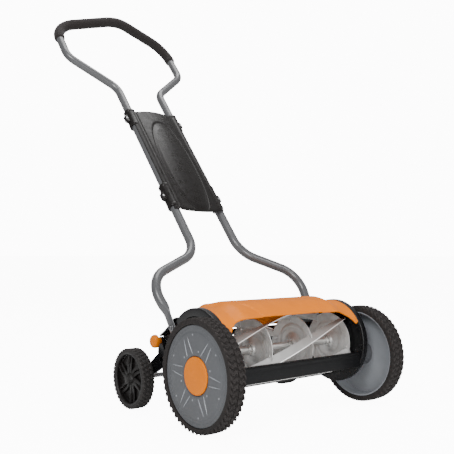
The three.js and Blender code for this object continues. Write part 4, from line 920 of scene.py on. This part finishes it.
def lower_tube():
    corners = [
        on_foot(FOOT_X, -20), (*on_foot(FOOT_X, 44), 30), (*ELBOW, 78), (*NECK, 78),
        up_slope(NECK, NECK_X, JOINT - 0.3),
    ]
    made = Build().sweep(bent_path(corners, 4.0), circle(TUBE, 40))
    points = made.verts[0]
    y, z = points[:, 1] - BOLT_Y, points[:, 2] - BOLT_Z
    along = y * FOOT_DIR[0] + z * FOOT_DIR[1]
    across = z * FOOT_DIR[0] - y * FOOT_DIR[1]
    flat = 1 - smooth(along, 30, 62)
    points[:, 0] = FOOT_X + (points[:, 0] - FOOT_X) * (1 + (3.2 / TUBE - 1) * flat)
    # The flattened end is rounded off about its bolt
    tail = np.clip((-along - 6) / 14, 0, 1)
    shift = across * (1 + (13 / TUBE - 1) * flat) * np.sqrt(1 - 0.86 * tail**2) - across
    points[:, 1] -= FOOT_DIR[1] * shift
    points[:, 2] += FOOT_DIR[0] * shift
    return made


left = [up_slope(NECK, NECK_X, JOINT + 0.3), (*SPREAD, 60), (*LOOP_FOOT, 60), (*LOOP_HEAD, 72)]
right = [(-c[0], *c[1:]) for c in reversed(left)]
loop_path = bent_path([*left, (*CROWN, 150), *right], 4.0)
piece(
    "upper_loop_look", Build().sweep(loop_path, circle(TUBE, 40)), "handle", [grey_paint],
    ["upper_loop"], sharp=50
)
grip_start = 678 - JOINT + math.hypot(124, LOOP_X - NECK_X) + 80
total = path_length(loop_path)
grip_path = cut_path(loop_path, grip_start, total - grip_start, 3.0)
count = len(grip_path)
place = np.arange(count)
end_round = np.minimum(place, count - 1 - place)
grip_scale = 1 - 0.16 * np.exp(-end_round / 0.9) + 0.012 * np.sin(place * 0.37) * np.sin(place * 0.083 + 1)
grip_scale = np.minimum(grip_scale * 0.995, 1.0)
piece(
    "foam_grip_look", Build().sweep(grip_path, circle(17, 36), scale=grip_scale), "handle", [foam],
    ["foam_grip"], sharp=60
)


def bolt_head(x, y, z, size=9.0, out=1):
    """Flanged hex head that faces out along X."""
    made = Build()
    made.lathe(
        fillet(
            [(x, 0.01), (x, size), (x + out * 1.0, size, 0.5), (x + out * 1.8, size * 0.8, 0.6)], 0.3, 3,
            False
        ) + [(x + out * 1.8, 0.01)],
        (0, y, z), 40, False,
    )
    hexagon = [polar(size * 0.72, 60 * i + 12) for i in range(6)]
    rings = []
    for height, scale in ((1.4, 1.0), (3.6, 1.0), (4.3, 0.9), (4.3, 0.45), (3.2, 0.4), (3.2, 0.01)):
        rings.append([(x + out * height, y + a * scale, z + b * scale) for a, b in fillet(hexagon, 0.5, 2)])
    made.grid(rings, False, True)
    return made


for side, sign in SIDES:
    piece(
        f"lower_tube_{side}_look", sided(lower_tube(), sign), "handle", [grey_paint],
        [f"lower_tube_{side}"], sharp=50
    )
    bolt = bolt_head(FOOT_X + 3.5, BOLT_Y, BOLT_Z)
    bolt.lathe(
        [(CASE_INNER - 6, 0.01), (CASE_INNER - 6, 4.4), (CASE_INNER - 5.3, 5), (FOOT_X + 3.5, 5)],
        (0, BOLT_Y, BOLT_Z), 32, False
    )
    bolt.lathe(
        fillet(
            [(CASE_INNER - 0.4, 5), (CASE_INNER - 0.4, 8.4), (CASE_INNER - 4.6, 8.4), (CASE_INNER - 5, 5)],
            0.5, 2, False
        ),
        (0, BOLT_Y, BOLT_Z), 6, False,
    )
    piece(
        f"handle_bolt_{side}_look", sided(bolt, sign), "chassis", [dark_steel],
        [f"handle_bolt_{side}"], sharp=30
    )


# ------------------------------------------------------------------ panel
def in_panel(points):
    """From the panel's (x, up the slope, out of its face) to mower coordinates."""
    p = np.asarray(points, float)
    y = NECK[1] + p[..., 1] * SLOPE[0] - p[..., 2] * SLOPE[1]
    z = NECK[2] + p[..., 1] * SLOPE[1] + p[..., 2] * SLOPE[0]
    return np.stack([p[..., 0], y, z], -1)


COLLARS = ((162, 246), (496, 562))
PANEL_X = (0, 20, 40, 58, 66, 70, 73, 76, 81, 85, 88.4)
PANEL_Z = (22.6, 22.2, 20.9, 19.2, 18.7, 19.1, 20.0, 19.3, 16.2, 14.5, 12.7)


def panel_surface(count_x, count_s, inset):
    """Crowned panel with a ridge along each edge and a long raised oval pad."""
    t = np.linspace(-1, 1, count_x)[:, None]
    s = np.linspace(0, 1, count_s)[None, :]
    x = t * PANEL_X[-1]
    bow = 1 - t * t
    up = (150 - 16 * bow) * (1 - s) + (545 + 12 * bow) * s
    height = np.interp(np.abs(x), PANEL_X, PANEL_Z) + 0 * s
    # Oval pad: 1 on its rim, less inside
    oval = (np.abs((x + 2) / 52) ** 2.3 + np.abs((up - 318) / 176) ** 2.3) ** (1 / 2.3)
    away = (oval - 1) * 52
    dome = smooth(-away, 0, 5) * (1.6 + 1.8 * (1 - np.clip(oval, 0, 1) ** 2))
    groove = np.exp(-(((away - 2.4) / 1.9) ** 2))
    ends = smooth(s, 0, 0.012) * smooth(1 - s, 0, 0.012)
    height = height + (dome - groove * 1.3) * ends - (1 - ends) * 1.6
    return in_panel(np.stack([x + 0 * s, up, height - inset], -1))


panel = Build()
outer, inner = panel_surface(150, 190, 0.0), panel_surface(150, 190, 2.6)
panel.grid(outer)
panel.grid(inner)
edge_loop = [
    np.stack([outer[0], inner[0]]), np.stack([outer[-1], inner[-1]]),
    np.stack([outer[:, 0], inner[:, 0]]), np.stack([outer[:, -1], inner[:, -1]]),
]
for strip in edge_loop:
    panel.grid(strip)


def half_collar(start, end, sign, up):
    """Half ring round a neck tube with rounded lips, and its screw ear."""
    made = Build()
    turns = np.linspace(2, 178, 36) if up else np.linspace(182, 358, 36)
    profile = fillet(
        [
            (start, 13.1), (start, 18, 1.2), (start + 7, 18.2, 2), (start + 9, 17.4, 1.5),
            (end - 9, 17.4, 1.5), (end - 7, 18.2, 2), (end, 18, 1.2), (end, 13.1)
        ],
        1, 3,
    )
    rings = [
        [
            (sign * NECK_X + r * math.cos(math.radians(a)), s, r * math.sin(math.radians(a))) for s,
            r in profile
        ] for a in turns
    ]
    made.grid(in_panel(rings), False, True)
    n = len(profile)
    made.faces += [list(range(n))[::-1], [35 * n + i for i in range(n)]]
    made.marks += [0, 0]
    middle, inner_x = (start + end) / 2, NECK_X + TUBE + 1.5
    outline = fillet(
        [
            (inner_x, middle - 15), (inner_x + 13, middle - 11, 4), (inner_x + 13, middle + 11, 4),
            (inner_x, middle + 15)
        ],
        1, 4
    )
    z0, z1 = (0.3, 6.2) if up else (-0.3, -6.2)
    step = 1.0 if up else -1.0
    n = len(outline)
    rings = []
    for z, shrink in ((z0, 0.4), (z0 + step * 0.5, 0.0), (z1 - step, 0.0), (z1, 1.0)):
        ring = [(sign * (x + shrink * (-1 if x > inner_x + 6 else 0)), s * 1.0, z) for x, s in outline]
        rings.append(ring)
    start_index = sum(len(v) for v in made.verts)
    made.grid(in_panel(rings), False, True)
    made.faces += [[start_index + i for i in range(n)], [start_index + 3 * n + i for i in range(n)]]
    made.marks += [0, 0]
    # Screw head in a round recess
    turns = np.linspace(0, 2 * math.pi, 24, endpoint=False)
    x0 = sign * (inner_x + 7.0)
    screw = [
        [(x0 + r * math.cos(a), middle + r * math.sin(a), z1 + step * h) for a in turns]
        for r, h in (
            (5.0, -0.2), (4.6, 0.5), (3.9, 0.5), (3.7, 0.9), (3.0, 1.3), (1.5, 1.4), (1.3, 0.6), (0.01, 0.6)
        )
    ]
    marks = [0] * (2 * 24) + [1] * (5 * 24)
    made.grid(in_panel(screw), False, True, marks)
    return made


for side, sign in SIDES:
    for start, end in COLLARS:
        half = half_collar(start, end, sign, True)
        base = sum(len(v) for v in panel.verts)
        panel.verts += half.verts
        panel.faces += [[i + base for i in f] for f in half.faces]
        panel.marks += half.marks
piece(
    "handle_panel_look", panel, "handle", [panel_plastic, zinc], ["handle_panel"], sharp=50
)
for side, sign in SIDES:
    for (start, end), where in zip(COLLARS, ("lower", "upper")):
        piece(
            f"collar_cap_{where}_{side}_look", half_collar(start, end, sign, False), "handle",
            [black_plastic, zinc], [f"collar_cap_{where}_{side}"], sharp=45,
        )

# ------------------------------------------------------------------ rear wheels and knob
REAR_HALF = (rear_high.x - rear_low.x) / 2 / MM


def rear_wheel():
    """Small wheel: ribbed tread, deep rim, six split spokes and a hub."""
    made = Build()
    lugs, per = 40, 10
    theta = np.linspace(0, 2 * math.pi, lugs * per, endpoint=False)[:, None]
    x = np.array(
        [
            -REAR_HALF, -REAR_HALF, -REAR_HALF + 1.2, *np.linspace(-REAR_HALF + 2.4, REAR_HALF - 2.4, 20),
            REAR_HALF - 1.2, REAR_HALF, REAR_HALF
        ]
    )
    base = np.array(
        [
            REAR_R - 9, REAR_R - 4.6, REAR_R - 3.4, *([REAR_R - 2.6] * 20), REAR_R - 3.4, REAR_R - 4.6,
            REAR_R - 9
        ]
    )
    row = np.where(np.abs(x) > REAR_HALF * 0.36, 0.5, 0.0)
    phase = (lugs * theta / (2 * math.pi) + row + 0.25 * x / REAR_HALF) % 1
    lug = smooth(phase, 0, 0.14) * (1 - smooth(phase, 0.58, 0.72))
    gap = 1 - np.exp(-(((np.abs(x) / REAR_HALF - 0.36) / 0.06) ** 2))
    radius = base + 2.6 * lug * gap * np.where(base > REAR_R - 5, 1, 0)
    points = np.stack([x + 0 * theta, radius * np.cos(theta), radius * np.sin(theta)], -1)
    made.grid(points, True, False, 1)
    made.lathe(
        fillet(
            [
                (-REAR_HALF, REAR_R - 9), (-REAR_HALF, REAR_R - 13, 1),
                (-REAR_HALF + 2, REAR_R - 15, 1.5), (-REAR_HALF + 5, REAR_R - 16, 1.5),
                (0, REAR_R - 13.5, 2), (REAR_HALF - 5, REAR_R - 16, 1.5), (REAR_HALF - 2, REAR_R - 15, 1.5),
                (REAR_HALF, REAR_R - 13, 1), (REAR_HALF, REAR_R - 9),
            ],
            1, 3, False,
        ),
        segments=120, closed=False,
    )
    hub = fillet(
        [(-REAR_HALF, 6.4), (-REAR_HALF, 12.5), (-8, 16, 2), (8, 16, 2), (REAR_HALF, 12.5), (REAR_HALF, 6.4)],
        1, 3
    )
    made.lathe(hub, segments=64)
    for spoke in range(6):
        for lean in (-1, 1):
            steps = np.linspace(0, 1, 12)
            path = []
            for t in steps:
                y, z = polar(12 + t * (REAR_R - 26), 60 * spoke + 12 + lean * (15 - 9.5 * t) + 14 * t)
                path.append((4.5 + 3.5 * (1 - t), y, z))
            width = [1.15 - 0.25 * math.sin(math.pi * t) for t in steps]
            made.sweep(path, fillet([(-5, -2), (5, -2), (5, 2), (-5, 2)], 1.4, 3), scale=width)
        made.sweep(
            [polar_point(8, REAR_R - 38, 60 * spoke + 19), polar_point(6, REAR_R - 15, 60 * spoke + 26)],
            fillet([(-1.5, -5.5), (1.5, -5.5), (1.5, 5.5), (-1.5, 5.5)], 1, 2)
        )
    made.lathe([(2, 14), (2, REAR_R - 15), (0.6, REAR_R - 15), (0.6, 14)], segments=90)
    return made


def polar_point(x, radius, degrees):
    y, z = polar(radius, degrees)
    return (x, y, z)


rear_build = rear_wheel()
for side, sign in SIDES:
    made = sided(shifted(rear_build, REAR_X, REAR_Y, REAR_R), sign)
    piece(
        f"rear_wheel_{side}_look", made, f"{side}_rear_wheel", [black_plastic, small_tyre],
        [f"rear_wheel_{side}"], sharp=35
    )
    x = REAR_X + REAR_HALF + 0.3
    cap = Build().lathe(
        fillet(
            [
                (x, 0.01), (x, 12), (x + 2.4, 11.4, 1.2), (x + 3.0, 8.2, 0.8), (x + 4.4, 7.4, 0.8),
                (x + 4.5, 0.01)
            ],
            0.5, 4, False
        ),
        (0, REAR_Y, REAR_R), 60, False,
    )
    piece(
        f"rear_wheel_cap_{side}_look", sided(cap, sign), "rear_carriage", [black_plastic],
        [f"rear_wheel_cap_{side}"]
    )

knob_low, knob_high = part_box("height_knob")
knob_y = (knob_low.y + knob_high.y) / 2 / MM - AXLE_Y
knob_z = (knob_low.z + knob_high.z) / 2 / MM
out = -knob_low.x / MM
knob = Build().lathe(
    fillet(
        [
            (225.4, 0.01), (225.4, 2.6), (226, 3), (235.4, 3), (235.4, 7, 0.6), (out - 15, 7, 1),
            (out - 15, 15.6, 1), (out - 14, 16.5, 1),
            (out - 8, 16.5, 4), (out - 4, 14.6, 4), (out - 1.2, 9.5, 4), (out, 0.01),
        ],
        0.4, 5, False,
    ),
    (0, knob_y, knob_z), 72, False,
)
piece("height_knob_look", knob.flipped(), "knob", [orange_plastic], ["height_knob"])

# ------------------------------------------------------------------ camera, floor and light
camera_data = bpy.data.cameras.new("camera")
camera_data.lens = 677.68 * 36 / 454
camera_data.sensor_width = 36
camera_data.clip_end = 60
camera = bpy.data.objects.new("camera", camera_data)
bpy.context.scene.collection.objects.link(camera)
azimuth, elevation = math.radians(-39.2), math.radians(-1.95)
back = Vector(
    (math.sin(azimuth) * math.cos(elevation), -math.cos(azimuth) * math.cos(elevation), math.sin(elevation))
)
turn = (-back).to_track_quat("-Z", "Y").to_matrix().to_4x4() @ Matrix.Rotation(math.radians(0.14), 4, "Z")
camera.matrix_world = Matrix.Translation((-1.1768, (-1198.9 + AXLE_Y) * MM, 0.4027)) @ turn
bpy.context.scene.camera = camera

floor_mesh = bpy.data.meshes.new("floor")
floor_mesh.from_pydata(
    [(-40, -40, -0.0005), (40, -40, -0.0005), (40, 40, -0.0005), (-40, 40, -0.0005)], [], [(0, 1, 2, 3)]
)
floor = bpy.data.objects.new("floor", floor_mesh)
bpy.context.scene.collection.objects.link(floor)
ground = Look("floor_paper", (0.9, 0.9, 0.9), 0.7)
ground.plug("Base Color", ground.mix(ground.noise(180, 2), (0.9, 0.9, 0.9), (0.88, 0.88, 0.88)))
glow = ground.tree.nodes.new("ShaderNodeLightPath")
ground.set("Emission Color", (1, 1, 1, 1))
ground.plug("Emission Strength", ground.times(glow.outputs["Is Camera Ray"], 10.7))
floor_mesh.materials.append(ground.material)

world = bpy.data.worlds.new("studio")
world.use_nodes = True
sky = world.node_tree
lit = sky.nodes["Background"]
lit.inputs[0].default_value = (1, 1, 1, 1)
lit.inputs[1].default_value = 0.5
seen = sky.nodes.new("ShaderNodeBackground")
seen.inputs[0].default_value = (1, 1, 1, 1)
seen.inputs[1].default_value = 12.0
path = sky.nodes.new("ShaderNodeLightPath")
choose = sky.nodes.new("ShaderNodeMixShader")
sky.links.new(path.outputs["Is Camera Ray"], choose.inputs[0])
sky.links.new(lit.outputs[0], choose.inputs[1])
sky.links.new(seen.outputs[0], choose.inputs[2])
sky.links.new(choose.outputs[0], sky.nodes["World Output"].inputs[0])
bpy.context.scene.world = world


def softbox(name, place, target, width, height, watts):
    data = bpy.data.lights.new(name, "AREA")
    data.shape = "RECTANGLE"
    data.size, data.size_y, data.energy = width, height, watts
    lamp = bpy.data.objects.new(name, data)
    lamp.location = place
    lamp.rotation_mode = "QUATERNION"
    lamp.rotation_quaternion = (Vector(target) - Vector(place)).to_track_quat("-Z", "Y")
    bpy.context.scene.collection.objects.link(lamp)


softbox("key", (-2.6, -1.6, 2.6), (0, 0, 0.4), 1.4, 1.4, 100)
softbox("fill", (-1.2, -3.6, 0.9), (0.1, -0.2, 0.25), 1.6, 1.2, 85)
softbox("front", (1.4, -3.0, 1.8), (0, -0.2, 0.3), 1.4, 1.2, 40)
softbox("top", (0.3, 0.3, 3.2), (0, 0, 0.2), 1.8, 1.8, 60)
